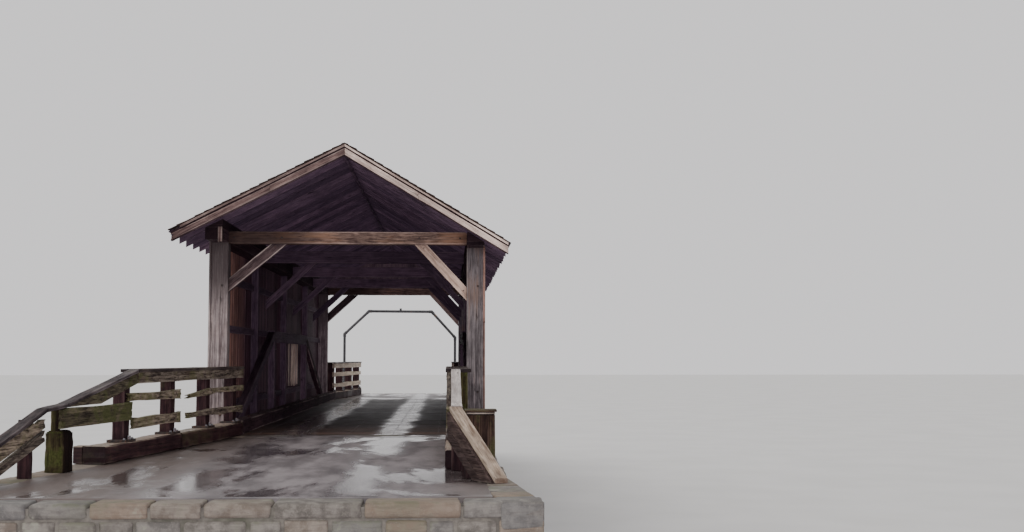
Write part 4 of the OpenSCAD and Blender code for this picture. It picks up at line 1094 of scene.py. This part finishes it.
def level_boards(o, line, jag=0.03, broken=False):
    plank(o, line, quad(0.0, P1 - 0.008, 1.0, 1.170), 0.004, 0.062, jag=jag * 0.4, jag_at=(1, 3), wave=0.006, cup=0.003, tint=0.3)
    if broken:      # the lengths by the portal have sagged and broken off short of their post
        plank(o, line, [(0.0, 0.773), (1.9, 0.757), (3.02, 0.732), (3.02, 0.782), (1.9, 0.865), (0.0, 0.878)], 0.004, 0.060, jag=0.10, jag_at=(2,),
              wave=0.012, cup=0.004, tint=0.85)
        plank(o, line, [(0.0, 0.392), (3.02, 0.432), (3.02, 0.518), (1.9, 0.536), (0.0, 0.528)], 0.004, 0.058, jag=0.08, jag_at=(1,), wave=0.012,
              cup=0.004, tint=0.5)
        plank(o, line, quad(3.32, 5.45, 0.739, 0.883, 0.770, 0.878), 0.004, 0.060, jag=0.04, jag_at=(1, 3), wave=0.012, cup=0.003, tint=0.9)
        plank(o, line, quad(3.32, 5.305, 0.385, 0.553, 0.394, 0.550), 0.004, 0.062, jag=0.03, jag_at=(1, 3), wave=0.012, cup=0.003, tint=0.95)
        return
    # the middle rails are each two boards that meet at a post
    plank(o, line, quad(0.0, 3.50, 0.722, 0.878, 0.735, 0.872), 0.004, 0.060, jag=jag, jag_at=(1, 3), wave=0.010, cup=0.003, tint=0.80)
    plank(o, line, quad(3.54, P1 - 0.045, 0.725, 0.868, 0.74, 0.86), 0.006, 0.058, jag=jag, jag_at=(1, 3), wave=0.010, cup=0.003, tint=0.62)
    plank(o, line, quad(0.0, 3.46, 0.375, 0.528, 0.37, 0.52), 0.004, 0.058, jag=jag, jag_at=(1, 3), wave=0.010, cup=0.003, tint=0.55)
    plank(o, line, quad(3.50, P1 - 0.02, 0.37, 0.525), 0.006, 0.062, jag=jag, jag_at=(1, 3), wave=0.010, cup=0.003, tint=0.9)


def slope_boards(o, line, p4, e, n, s=P1 + 0.06, mat=0):
    z = lambda d: cap_top(d, p4, e) - CAP_T
    m = 7.44 if e == 0.06 else 6.95
    plank(o, line, [(P1 + 0.008, 1.0), (6.42, 0.772), (m, 0.766), (m, z(m) + 0.012), (P1 + 0.008, 1.152)], 0.004, 0.060, jag=0.02, jag_at=(4,),
          wave=0.003, tint=0.0, mat=mat)
    plank(o, line, [(s, 0.517), (n, 0.517), (n, z(n) - 0.02), (n - 0.14, 0.758), (s, 0.760)], 0.004, 0.062, jag=0.02, jag_at=(1, 4),
          wave=0.006, cup=0.002, tint=0.7, mat=mat)


def foot_boards(o, line, p3, p4, e, n, broken=False, closed=False, mat=0):
    z = lambda d: cap_top(d, p4, e) - CAP_T
    a = p3 + 0.014
    if closed:      # boarded down to the ground under the cap
        plank(o, line, [(a, z(a) - 0.168), (p4 - 0.253, 0.0015), (p4 - 0.04, 0.0015), (p4 - 0.04, z(p4 - 0.04) - 0.001), (a, z(a) - 0.002)],
              0.004, 0.06, jag=0.0, jag_at=(), wave=0.002, tint=0.6, mat=mat)
        plank(o, line, [(a, z(a) - 0.323), (p4 - 0.484, 0.0015), (p4 - 0.264, 0.0015), (a, z(a) - 0.176)],
              0.007, 0.06, jag=0.0, jag_at=(), wave=0.002, tint=0.25, mat=mat)
        return
    if broken:      # the top of its upper end has split away under the cap
        top = [(n, z(n) - 0.002), (a + 1.0, z(a + 1.0) - 0.002), (a + 0.52, z(a + 0.52) - 0.004), (a + 0.40, z(a + 0.40) - 0.030), (a + 0.30, z(a + 0.30) - 0.018),
               (a + 0.20, z(a + 0.20) - 0.055), (a + 0.10, z(a + 0.10) - 0.045), (a, z(a) - 0.07)]
    else:
        top = [(n, z(n) - 0.002), (a, z(a) - 0.002)]
    plank(o, line, [(a, z(a) - 0.168), (n, z(n) - 0.168)] + top, 0.004, 0.06, jag=0.03, jag_at=(1,) + ((2 + len(top) - 1,) if broken else ()),
          wave=0.008, tint=1.0 if broken else 0.85, mat=mat)
    plank(o, line, [(a, z(a) - 0.323), (n - 0.32, z(n - 0.32) - 0.323), (n - 0.32, z(n - 0.32) - 0.197), (a, z(a) - 0.197)],
          0.006, 0.06, jag=0.05, jag_at=(1, 3), wave=0.008, tint=0.15, mat=mat)


def posts(o, line, ds, w, u0, u1, mat=0, bolts=True):
    for d in ds:
        m = (u0 + u1) / 2
        stick(o, line, (d, m, CURB), (d, m, CAP_Z - CAP_T), (0, 1, 0), u1 - u0 - 0.004, w - 0.004, c=0.012, rows=1, bow=0.002, rough=0.002, seg=0.2, mat=mat)


def plates(o, line, ds, u1):
    """Steel foot plates on the curb, each with a bolt in front of the post."""
    for d in ds:
        stick(o, line, (d, 0.002, CURB + 0.016), (d, u1, CURB + 0.016), (0, 0, 1), 0.032, 0.36, c=0.005, bow=0, rough=0.0006, mat=0)
        for dd in (-0.15, 0.15):
            o.disc(line((d + dd, 0.04, CURB + 0.032))[0], Z, 0.017, 0.02, mat=1)
        o.disc(line((d, 0.03, CURB + 0.032))[0], Z, 0.026, 0.05, mat=1)
        # bolt heads where the rails are fixed to the posts
        for z in (1.075, 0.81, 0.46) if d < 5.3 else ():
            for dz in (-0.03, 0.03):
                o.disc(line((d + dz, 0.004, z + dz * 0.7))[0], line((d, -1, z))[0] - line((d, 0, z))[0], 0.011, 0.007, mat=0)


def curb(o, line, spans, u1=0.295):
    for d0, d1 in spans:
        stick(o, line, (d0, (u1 - 0.01) / 2, CURB / 2), (d1, (u1 - 0.01) / 2, CURB / 2), (0, 1, 0), u1 + 0.006, CURB - 0.004, c=0.016, rows=2, bow=0.003,
              rough=0.0025, rag=(0.012, 0.012), seg=0.3)


def cap(o, line, spans, u0, u1, p4, e, mat=0, rag=0.02, t=CAP_T):
    for d0, d1 in spans:
        za, zb = cap_top(d0, p4, e) - CAP_T / 2, cap_top(d1, p4, e) - CAP_T / 2
        run = line((d1, 0, 0))[0] - line((d0, 0, 0))[0]
        stick(o, line, (d0, (u0 + u1) / 2, za), (d1, (u0 + u1) / 2, zb), (0, 0, 1), (t - 0.004), u1 - u0 - 0.004, c=0.006,
              rows=3, rag=(rag, rag), bow=0.0015, rough=0.001, seg=0.3, cut0=unit(run), cut1=unit(run), mat=mat)


def railings():
    L = Line((0, REF_L), (APPROACH, REF_L + FLARE_L * APPROACH), -1, -1)
    l_end = APPROACH - 0.18
    R = Line((0, REF_R), (P3, REF_R), 1, -1)
    r_end = P3 + 1.12
    R2 = Line((P3, REF_R), (r_end, REF_R + 0.55), 1, -1)
    FL = Line((0, 1.9), (P1 + 0.05, 1.9 - 0.105 * (P1 + 0.05)), -1, 1)
    FR = Line((0, 1.9), (P1 + 0.05, 1.9), 1, 1)
    ds = [0.31, 1.82, 3.53, 5.03]
    for node, line, spans, seed in (("near_left_curb", L, [(0.0, 3.3), (3.31, 6.3)], 60), ("near_right_curb", R, [(0.0, 3.4), (3.41, 7.18)], 61),
                                    ("far_left_curb", FL, [(0.0, 2.9), (2.91, P1 + 0.05)], 62), ("far_right_curb", FR, [(0.0, 2.6), (2.61, P1 + 0.05)], 63)):
        o = Pile(node + "_timbers", ["curb"], "mossy_timber", [node], seed)
        curb(o, line, spans)
        if line is L:       # cross timber at its end
            stick(o, L, (6.175, 0.297, CURB / 2), (6.175, 0.413, CURB / 2), (0, 0, 1), CURB - 0.006, 0.246, c=0.012, rows=2, rough=0.002)
        o.make()
    for node, line, seed in (("near_left_rails", L, 64), ("near_right_rails", R, 65), ("far_left_rails", FL, 66), ("far_right_rails", FR, 67)):
        o = Pile(node.replace("rails", "rail_boards"), ["rail_far" if "far" in node else "rail", "rpost", "rail_w", "foot_r"], "mossy_timber", [node], seed)
        level_boards(o, line, broken=line is L)
        if node == "near_left_rails":
            slope_boards(o, L, l_end, 0.06, 7.59, 5.33, mat=2)
            foot_boards(o, L, LP3, l_end, 0.06, l_end - 0.7, broken=True)
        if node == "near_right_rails":
            slope_boards(o, R, r_end, 0.05, 7.56)
            foot_boards(o, R2, P3, r_end, 0.05, P3 + 0.78, closed=True, mat=3)
        o.make()
    for node, line, seed, u1 in (("near_left_rail_posts", L, 68, 0.23), ("near_right_rail_posts", R, 69, 0.295), ("far_left_rail_posts", FL, 70, 0.285),
                                 ("far_right_rail_posts", FR, 71, 0.285)):
        o = Pile(node.replace("rail_posts", "railing_posts"), ["rpost", "mpost"], "mossy_timber", [node], seed)
        posts(o, line, ds if "near" not in node else ds[:3], 0.22, 0.065, u1)
        if node == "near_left_rail_posts":
            for d, w in ((8.27, 0.056), (9.45, 0.196)):
                top = cap_top(d + w / 2, l_end, 0.06) - CAP_T
                stick(o, L, (d, 0.1475, 0.0), (d, 0.1475, top - 0.002), (0, 1, 0), 0.161, w, c=0.010, rows=2, rough=0.002, seg=0.12)
            top = cap_top(5.49, l_end, 0.06) - CAP_T
            stick(o, L, (5.38, 0.1475, CURB), (5.38, 0.1475, top), (0, 1, 0), 0.161, 0.216, c=0.012, rows=1, rough=0.002, seg=0.2)
        if node == "near_right_rail_posts":
            posts(o, R, ds[3:], 0.22, 0.065, u1, mat=1)
            top = cap_top(7.38, r_end, 0.05) - CAP_T
            stick(o, R, (7.3, 0.135, 0.0), (7.3, 0.135, top), (0, 1, 0), 0.138, 0.158, c=0.012, rows=1, rough=0.002, seg=0.15)
            top = cap_top(P3 + 0.39, r_end, 0.05) - CAP_T
            stick(o, R2, (P3 + 0.33, 0.13, 0.0), (P3 + 0.33, 0.13, top), (0, 1, 0), 0.128, 0.118, c=0.01, rows=1, rough=0.002, seg=0.15)
        o.make()
    for name, line, u1 in (("near_left_post_feet", L, 0.27), ("near_right_post_feet", R, 0.294), ("far_left_post_feet", FL, 0.294), ("far_right_post_feet", FR, 0.294)):
        o = Pile(name, ["iron", "zinc"], "black_pipe", (), 72)
        plates(o, line, ds[:3] + [5.38] if line is L else ds, u1)
        o.make()
    o = Pile("near_left_cap_planks", ["cap_top", "cap"], "cap_timber", ["near_left_cap"], 73)
    cap(o, L, [(0.0, 2.60), (2.605, P1)], -0.015, 0.26, l_end, 0.06)
    cap(o, L, [(P1 + 0.004, LP2 - 0.002), (LP2 + 0.002, LP3 - 0.002), (LP3 + 0.002, l_end)], -0.015, 0.125, l_end, 0.06, mat=1, rag=0.008)
    o.make()
    o = Pile("near_right_cap_planks", ["cap_top", "cap_r", "cap_r2"], "cap_timber", ["near_right_cap"], 74)
    cap(o, R, [(0.0, 2.70), (2.705, P1)], -0.015, 0.34, r_end, 0.05)
    cap(o, R, [(P1 + 0.004, P2 - 0.002), (P2 + 0.002, P3 - 0.11)], 0.06, 0.19, r_end, 0.05, mat=1, rag=0.008)
    cap(o, R2, [(P3 + 0.002, r_end)], 0.04, 0.2, r_end, 0.05, mat=2, rag=0.01)
    o.make()
    for node, line, seed in (("far_left_cap", FL, 75), ("far_right_cap", FR, 76)):
        o = Pile(node + "_planks", ["cap_top"], "cap_timber", [node], seed)
        cap(o, line, [(0.0, 2.55), (2.555, P1)], -0.015, 0.30, 99, 0)
        o.make()
    # a round-topped log on the left and a plank box on the right at the foot of the first slope
    o = Pile("end_box_planks", ["box", "boxlid", "mpost"], "mossy_timber", ["end_boxes"], 77)
    p, q, f = L((7.37, 0.14, 0.0))[0], L((7.37, 0.14, 0.44))[0], L((7.37, 1.14, 0.0))[0] - L((7.37, 0.14, 0.0))[0]
    q = q + Z * 0.02
    o.board(p, q, f, 0.236, 0.296, c=0.030, rows=3, rough=0.0025, bow=0.002, seg=0.06, mat=2)
    for k, z in ((0.94, 0.475), (0.84, 0.487), (0.66, 0.494)):       # its worn, rounded head
        o.board(q - Z * 0.03, np.array([q[0], q[1], z]), f, 0.236 * k, 0.296 * k, c=0.05 * k, rows=3, rough=0.003, bow=0, seg=0.05, mat=2)
    stick(o, L, (7.46, 0.15, 0.44), (7.46, 0.15, 0.748), (0, 1, 0), 0.096, 0.056, c=0.006, rows=2, rag=(0, 0.01), rough=0.002, seg=0.1, mat=2)
    # painted shade: the log's side towards the road is darkened
    for g, b_, w_ in zip(o.g, o.b, o.w):
        w_[:, 2] = np.where(g[:, 1] < -0.8 * b_[:, 0], 0.0, 1.0)
    x0, x1, y0, y1 = 1.99, 2.325, -HALF - 8.02, -HALF - 7.57
    o.board(((x0 + x1) / 2, (y0 + y1) / 2, 0), ((x0 + x1) / 2, (y0 + y1) / 2, 0.69), X, x1 - x0 - 0.07, y1 - y0 - 0.07, mat=0, bow=0)
    for side in (0, 1):
        x = x0
        while x < x1 - 0.02:
            w = min(o.rng.uniform(0.07, 0.11), x1 - x)
            y = y0 + 0.02 if side == 0 else y1 - 0.02
            o.board((x + w / 2, y, 0), (x + w / 2, y, 0.695), Y, 0.034, w - 0.004, c=0.004, rag=(0, 0.006), rows=1, rough=0.001, mat=0)
            x += w
        y = y0 + 0.04
        while y < y1 - 0.05:
            w = min(o.rng.uniform(0.07, 0.11), y1 - 0.04 - y)
            x = x0 + 0.02 if side == 0 else x1 - 0.02
            o.board((x, y + w / 2, 0), (x, y + w / 2, 0.695), X, 0.034, w - 0.004, c=0.004, rag=(0, 0.006), rows=1, rough=0.001, mat=0)
            y += w
    for z, m, g in ((0.7125, 1, 0.022), (0.738, 0, 0.0)):
        o.board((x0 - 0.022 + g, (y0 + y1) / 2, z), (x1 + 0.022 - g, (y0 + y1) / 2, z), Z, 0.020, (y1 - y0) + 0.044 - 2 * g, c=0.004, mat=m, rag=(0.006, 0.006), rows=2, bow=0)
    o.board((x0 + 0.01, (y0 + y1) / 2, 0.725), (x1 - 0.01, (y0 + y1) / 2, 0.725), Z, 0.012, (y1 - y0) - 0.02, c=0.002, mat=0, bow=0)
    o.make()


# ---------------------------------------------------------------- abutments
def wall(o, a, b, z0, z1, inward, coping=True, ends=(0.0, 0.0)):
    """Coursed rubble from a to b (plan points), its outer face on that line."""
    r = o.rng
    a, b, inward = np.array(a, float), np.array(b, float), np.array(inward, float)
    length = np.linalg.norm(b - a)
    u = (b - a) / length
    z = z0
    while z < z1 - 0.02:
        top = coping and z1 - z < 0.52
        h = (z1 - z) if z1 - z < 0.34 else min(r.uniform(0.17, 0.32), z1 - z - 0.15)
        s = 0.0
        last = h == z1 - z
        while s < length - 0.01:
            w = r.uniform(0.24, 0.72) if not last else r.uniform(0.45, 0.95)
            if length - (s + w) < 0.2:
                w = length - s
            deep = 0.42 if last and coping else 0.22
            # the outer face stands proud of the mortar by a changing amount
            out = 0.0 if last else r.uniform(0.0, 0.014)
            j = 0.007
            p0, p1 = a + u * (s + j) + inward * out, a + u * (s + w - j) + inward * out
            q1, q0 = p1 + inward * deep, p0 + inward * deep
            zb, zt = z + j, z + h - (j if not last else 0.0)
            foot = [(*p0, zb), (*p1, zb), (*q1, zb), (*q0, zb)]
            cross = u[0] * inward[1] - u[1] * inward[0]
            if cross < 0:
                foot = [foot[1], foot[0], foot[3], foot[2]]
            head = [(x, y, zt + (r.uniform(-0.006, 0.0) if last else 0)) for x, y, _ in foot]
            o.block(foot + head, 0, round_=r.uniform(0.018, 0.04), lump=0.012)
            s += w
        z += h


def prism(o, outline, z0, z1, mat):
    """An upright body under the stones: outline anticlockwise from above."""
    p = np.array(outline, float)
    n = len(p)
    v = np.concatenate([np.c_[p, np.full(n, z0)], np.c_[p, np.full(n, z1)]])
    i = np.arange(n)
    j = (i + 1) % n
    k = len(v)
    o.add(v, np.zeros((k, 3)), np.tile([1, 1, 0.5], (k, 1)), np.tile([1.0, 0, 1.0], (k, 1)),
          [i[::-1].copy(), n + i, np.stack([i, j, n + j, n + i], -1)], mat)


def shrink(outline, d):
    """The outline moved inward by d. It is anticlockwise."""
    p = np.array(outline, float)
    n = len(p)
    out = []
    for i in range(n):
        a, b, c = p[i - 1], p[i], p[(i + 1) % n]
        e1, e2 = unit(b - a), unit(c - b)
        n1, n2 = np.array([-e1[1], e1[0]]), np.array([-e2[1], e2[0]])
        m = n1 + n2
        out.append(b + m * d / max(0.3, m.dot(n1)))
    return out


def top_sheet(o, outline, z, mat, cell=0.25):
    """The fill's surface: a gently uneven grid inside a four-sided outline, (left, right) at each end."""
    (l0, r0, y0), (l1, r1, y1) = outline
    rows, cols = int(abs(y1 - y0) / cell) + 2, int((r0 - l0) / cell) + 2
    t, s = np.meshgrid(np.linspace(0, 1, rows), np.linspace(0, 1, cols), indexing="ij")
    left, right = l0 + (l1 - l0) * t, r0 + (r1 - r0) * t
    x, y = left + (right - left) * s, y0 + (y1 - y0) * t
    bumps = 0.003 * np.sin(x * 3.1 + 1.2 * np.sin(y * 1.3)) * np.cos(y * 2.3) + 0.002 * np.sin(x * 7.3 + y * 5.1)
    v = np.stack([x, y, z - 0.006 + bumps], -1).reshape(-1, 3)
    i = (np.arange(rows - 1)[:, None] * cols + np.arange(cols - 1)).ravel()
    f = np.stack([i, i + 1, i + cols + 1, i + cols], -1)
    if y1 < y0:
        f = f[:, ::-1]
    k = len(v)
    # closed underneath
    w = v.copy()
    w[:, 2] -= 0.12
    rim = np.concatenate([np.arange(cols), np.arange(1, rows) * cols + cols - 1, (rows - 1) * cols + np.arange(cols - 2, -1, -1),
                          np.arange(rows - 2, 0, -1) * cols])
    nx = np.roll(rim, -1)
    sides = np.stack([rim, rim + k, nx + k, nx], -1)
    if y1 < y0:
        sides = sides[:, ::-1]
    o.add(np.concatenate([v, w]), np.zeros((2 * k, 3)), np.tile([1, 1, 0.5], (2 * k, 1)), np.tile([1.0, 0, 1.0], (2 * k, 1)),
          [f, f[:, ::-1] + k, sides], mat, True)


def abutments():
    left_end = REF_L + FLARE_L * APPROACH + WING
    sz = -0.65                      # bridge seat
    z0 = -DZ + 0.0
    near = [(-(REF_L + 0.32), -HALF), (-(REF_L + 0.32), -HALF - 0.6), (-(REF_L + WING + 0.6 * FLARE_L), -HALF - 0.6), (-left_end, -HALF - APPROACH),
            (2.70, -HALF - APPROACH), (2.45, -HALF - 8.14), (2.45, -HALF - 0.6), (REF_R + 0.365, -HALF - 0.6), (REF_R + 0.365, -HALF)]
    o = Pile("near_abutment_masonry", ["stone", "mortar", "fill"], "stonework", ["near_abutment"], 80)
    o.put = lambda v: np.column_stack([v[:, 0], np.maximum(v[:, 1], -HALF - APPROACH), v[:, 2]])
    prism(o, shrink(near, 0.03), z0, -0.05, 1)
    seat = [(-2.8, -HALF - 0.4), (2.8, -HALF - 0.4), (2.8, -HALF + 1.2), (-2.8, -HALF + 1.2)]
    prism(o, shrink(seat, 0.03), z0, sz - 0.012, 1)
    # the wings, the near end, and the returns beside the portal
    n = near
    for i, j in ((2, 3), (3, 4), (4, 5), (5, 6)):
        a, b = np.array(n[i]), np.array(n[j])
        e = unit(b - a)
        wall(o, a, b, z0, 0.0, (-e[1], e[0]))
    for i, j in ((6, 7), (7, 8), (0, 1), (1, 2)):
        a, b = np.array(n[i]), np.array(n[j])
        e = unit(b - a)
        wall(o, a, b, sz, 0.0, (-e[1], e[0]))
    wall(o, (REF_R + 0.365, -HALF), (-(REF_L + 0.32), -HALF), sz, -0.0, (0, -1), coping=False)
    for a, b in (((-2.8, -HALF - 0.4), (-2.8, -HALF + 1.2)), ((-2.8, -HALF + 1.2), (2.8, -HALF + 1.2)), ((2.8, -HALF + 1.2), (2.8, -HALF - 0.4)),
                 ((-2.3, -HALF - 0.4), (-2.8, -HALF - 0.4)), ((2.8, -HALF - 0.4), (2.45, -HALF - 0.4))):
        wall(o, a, b, z0, sz, inward_of(a, b, (0.0, -HALF + 0.4)))
    prism(o, shrink(seat, 0.40), -1.0, sz - 0.001, 0)
    in_l = REF_L + WING - 0.38
    top_sheet(o, ((-(REF_L + 0.30), REF_R + 0.34, -HALF - 0.006), (-(REF_L + 0.32), REF_R + 0.34, -HALF - 0.62)), 0.0, 2)
    top_sheet(o, ((-(in_l + 0.6 * FLARE_L), 2.06, -HALF - 0.60), (-(in_l + 10.4 * FLARE_L), 2.22, -HALF - 10.42)), 0.0, 2)
    o.make()
    far = [(-2.12, HALF), (2.12, HALF), (2.12, HALF + 0.6), (2.30, HALF + 0.6), (2.30, HALF + FAR), (-2.27, HALF + FAR), (-2.27, HALF + 0.6), (-2.12, HALF + 0.6)]
    o = Pile("far_abutment_masonry", ["stone", "mortar", "fill"], "stonework", ["far_abutment"], 81)
    prism(o, shrink(far, 0.03), z0, -0.05, 1)
    seat = [(-2.8, HALF - 1.2), (2.8, HALF - 1.2), (2.8, HALF + 0.4), (-2.8, HALF + 0.4)]
    prism(o, shrink(seat, 0.03), z0, sz - 0.012, 1)
    for i, j in ((3, 4), (4, 5), (5, 6)):
        wall(o, far[i], far[j], z0, 0.0, inward_of(far[i], far[j], (0, HALF + 3)))
    for i, j in ((1, 2), (2, 3), (6, 7), (7, 0)):
        wall(o, far[i], far[j], sz, 0.0, inward_of(far[i], far[j], (0, HALF + (3 if (i, j) in ((2, 3), (6, 7)) else 0.3))))
    wall(o, (-2.12, HALF), (2.12, HALF), sz, 0.0, (0, 1), coping=False)
    for a, b in (((-2.8, HALF - 1.2), (2.8, HALF - 1.2)), ((2.8, HALF - 1.2), (2.8, HALF + 0.4)), ((-2.8, HALF + 0.4), (-2.8, HALF - 1.2)),
                 ((2.8, HALF + 0.4), (2.30, HALF + 0.4)), ((-2.27, HALF + 0.4), (-2.8, HALF + 0.4))):
        wall(o, a, b, z0, sz, inward_of(a, b, (0, HALF - 0.4)), coping=True)
    prism(o, shrink(seat, 0.40), -1.0, sz - 0.001, 0)
    top_sheet(o, ((-2.10, 2.10, HALF + 0.006), (-2.10, 2.10, HALF + 0.62)), 0.0, 2)
    top_sheet(o, ((-1.88, 1.91, HALF + 0.60), (-1.88, 1.91, HALF + FAR - 0.38)), 0.0, 2)
    o.make()


def inward_of(a, b, inside):
    a, b = np.array(a, float), np.array(b, float)
    e = unit(b - a)
    n = np.array([-e[1], e[0]])
    return n if (np.array(inside) - (a + b) / 2).dot(n) > 0 else -n


# ---------------------------------------------------------------- hoop
def hoop():
    o = Pile("clearance_hoop", ["pipe", "zinc"], "black_pipe", ["clearance_frame"], 90)
    y = HALF + 6.5
    pts = np.array([[-2.08, 0], [-2.08, 2.22], [-1.18, 3.07], [1.155, 3.055], [2.03, 2.09], [2.03, 0]])
    sides = 20
    t = np.arange(sides) * 2 * math.pi / sides

    def tube(a, b, radius, ra=None):
        a3, b3 = np.array([a[0], y, a[1]]), np.array([b[0], y, b[1]])
        ax = unit(b3 - a3)
        n1 = Y
        n2 = np.cross(ax, n1)
        ring = np.cos(t)[:, None] * n1 + np.sin(t)[:, None] * n2
        k = max(2, int(np.linalg.norm(b3 - a3) / 0.5) + 1)
        v = np.concatenate([a3 + (b3 - a3) * f + ring * radius for f in np.linspace(0, 1, k)])
        i = np.arange(sides)
        j = (i + 1) % sides
        faces = [np.stack([q * sides + i, q * sides + j, (q + 1) * sides + j, (q + 1) * sides + i], -1) for q in range(k - 1)]
        c = len(v)
        o.add(v, np.zeros((c, 3)), np.tile([1, 1, 0.5], (c, 1)), np.tile([1.0, 0, 1.0], (c, 1)), faces, 0, True)
        caps = np.concatenate([v[:sides], v[-sides:]])
        o.add(caps, np.zeros((2 * sides, 3)), np.tile([1, 1, 0.5], (2 * sides, 1)), np.tile([1.0, 0, 1.0], (2 * sides, 1)),
              [i[::-1].copy(), sides + i], 0)
    for i in range(5):
        tube(pts[i], pts[i + 1], 0.049)
    for i in range(1, 5):
        # elbow: a short fat sleeve along each pipe, and a ball between them
        for j in (i - 1, i + 1):
            d = unit(pts[j] - pts[i])
            tube(pts[i], pts[i] + d * 0.10, 0.057)
            tube(pts[i] + d * 0.085, pts[i] + d * 0.105, 0.0585)
        ball(o, (pts[i][0], y, pts[i][1]), 0.0575)
    for x in (-2.08, 2.03):
        o.board((x, y, 0.0005), (x, y, 0.016), X, 0.20, 0.24, c=0.004, bow=0, rough=0, mat=0, seg=1)
        tube((x, 0.014), (x, 0.055), 0.062)
        for dx in (-0.07, 0.07):
            for dy in (-0.09, 0.09):
                o.disc((x + dx, y + dy, 0.016), Z, 0.014, 0.018, mat=1)
    # a lug over the middle of the bar
    o.board((0.0, y, 3.10), (0.0, y, 3.18), Y, 0.016, 0.08, c=0.004, bow=0, rough=0, seg=1, mat=0)
    o.disc((0.0, y - 0.008, 3.15), -Y, 0.014, 0.008, mat=1)
    o.make()


def ball(o, at, r, mat=0, rows=10, cols=20):
    th = np.linspace(0, math.pi, rows + 1)[1:-1]
    ph = np.arange(cols) * 2 * math.pi / cols
    v = [[0, 0, r]] + [[r * math.sin(a) * math.cos(b), r * math.sin(a) * math.sin(b), r * math.cos(a)] for a in th for b in ph] + [[0, 0, -r]]
    v = np.array(v) + np.array(at)
    i = np.arange(cols)
    j = (i + 1) % cols
    faces = [np.stack([np.zeros(cols, int), 1 + i, 1 + j], -1)]
    for k in range(rows - 2):
        faces.append(np.stack([1 + k * cols + i, 1 + (k + 1) * cols + i, 1 + (k + 1) * cols + j, 1 + k * cols + j], -1))
    faces.append(np.stack([1 + (rows - 2) * cols + i, np.full(cols, len(v) - 1), 1 + (rows - 2) * cols + j], -1))
    c = len(v)
    o.add(v, np.zeros((c, 3)), np.tile([1, 1, 0.5], (c, 1)), np.tile([1.0, 0, 1.0], (c, 1)), faces, mat, True)


floor_and_frames()
portals()
far_gable()
roof()
siding()
railings()
abutments()
hoop()


# ---------------------------------------------------------------- camera, floor and light
scene = bpy.context.scene
cam_data = bpy.data.cameras.new("camera")
cam = bpy.data.objects.new("camera", cam_data)
scene.collection.objects.link(cam)
cam.location = (OX + 1.777, OY - HALF - 23.33, DZ + 1.36)
cam.rotation_euler = (math.radians(90 + 3.964), 0.0, math.radians(-2.771))
cam_data.sensor_width = 36.0
cam_data.lens = 1315.5 / 1024 * 36
cam_data.clip_end = 600
scene.camera = cam

me = bpy.data.meshes.new("studio_floor")
me.from_pydata([(-250, -250, 0), (250, -250, 0), (250, 250, 0), (-250, 250, 0)], [], [(0, 1, 2, 3)])
floor = bpy.data.objects.new("studio_floor", me)
scene.collection.objects.link(floor)
s = Shade("studio_floor")
me.materials.append(s.done(s.mix(s.ramp(s.noise(s.place(), 0.4, 2), 0.3, 0.7), (0.60, 0.60, 0.59), (0.64, 0.64, 0.63)), 0.85))

world = bpy.data.worlds.new("studio")
scene.world = world
world.use_nodes = True
bg = world.node_tree.nodes["Background"]
bg.inputs[0].default_value = (0.97, 0.95, 0.96, 1)
bg.inputs[1].default_value = 1.0

sun = bpy.data.lights.new("soft_key", "SUN")
sun.energy, sun.angle, sun.color = 1.3, math.radians(35), (1.0, 0.96, 0.92)
key = bpy.data.objects.new("soft_key", sun)
scene.collection.objects.link(key)
key.rotation_euler = (math.radians(48), math.radians(-14), math.radians(-24))

fill = bpy.data.lights.new("front_fill", "SUN")
fill.energy, fill.angle, fill.color = 0.30, math.radians(60), (1.0, 0.95, 0.94)
front = bpy.data.objects.new("front_fill", fill)
scene.collection.objects.link(front)
front.rotation_euler = (math.radians(80), 0.0, math.radians(6))

# an even, shadowless lift from low down in front, so that the inside isn't black
lift = bpy.data.lights.new("even_lift", "SUN")
lift.energy, lift.angle, lift.color = 0.88, math.radians(20), (0.97, 0.84, 1.0)
lift.use_shadow = False
low = bpy.data.objects.new("even_lift", lift)
scene.collection.objects.link(low)
low.rotation_euler = mathutils.Vector((0.38, -0.80, -0.46)).to_track_quat("Z", "Y").to_euler()
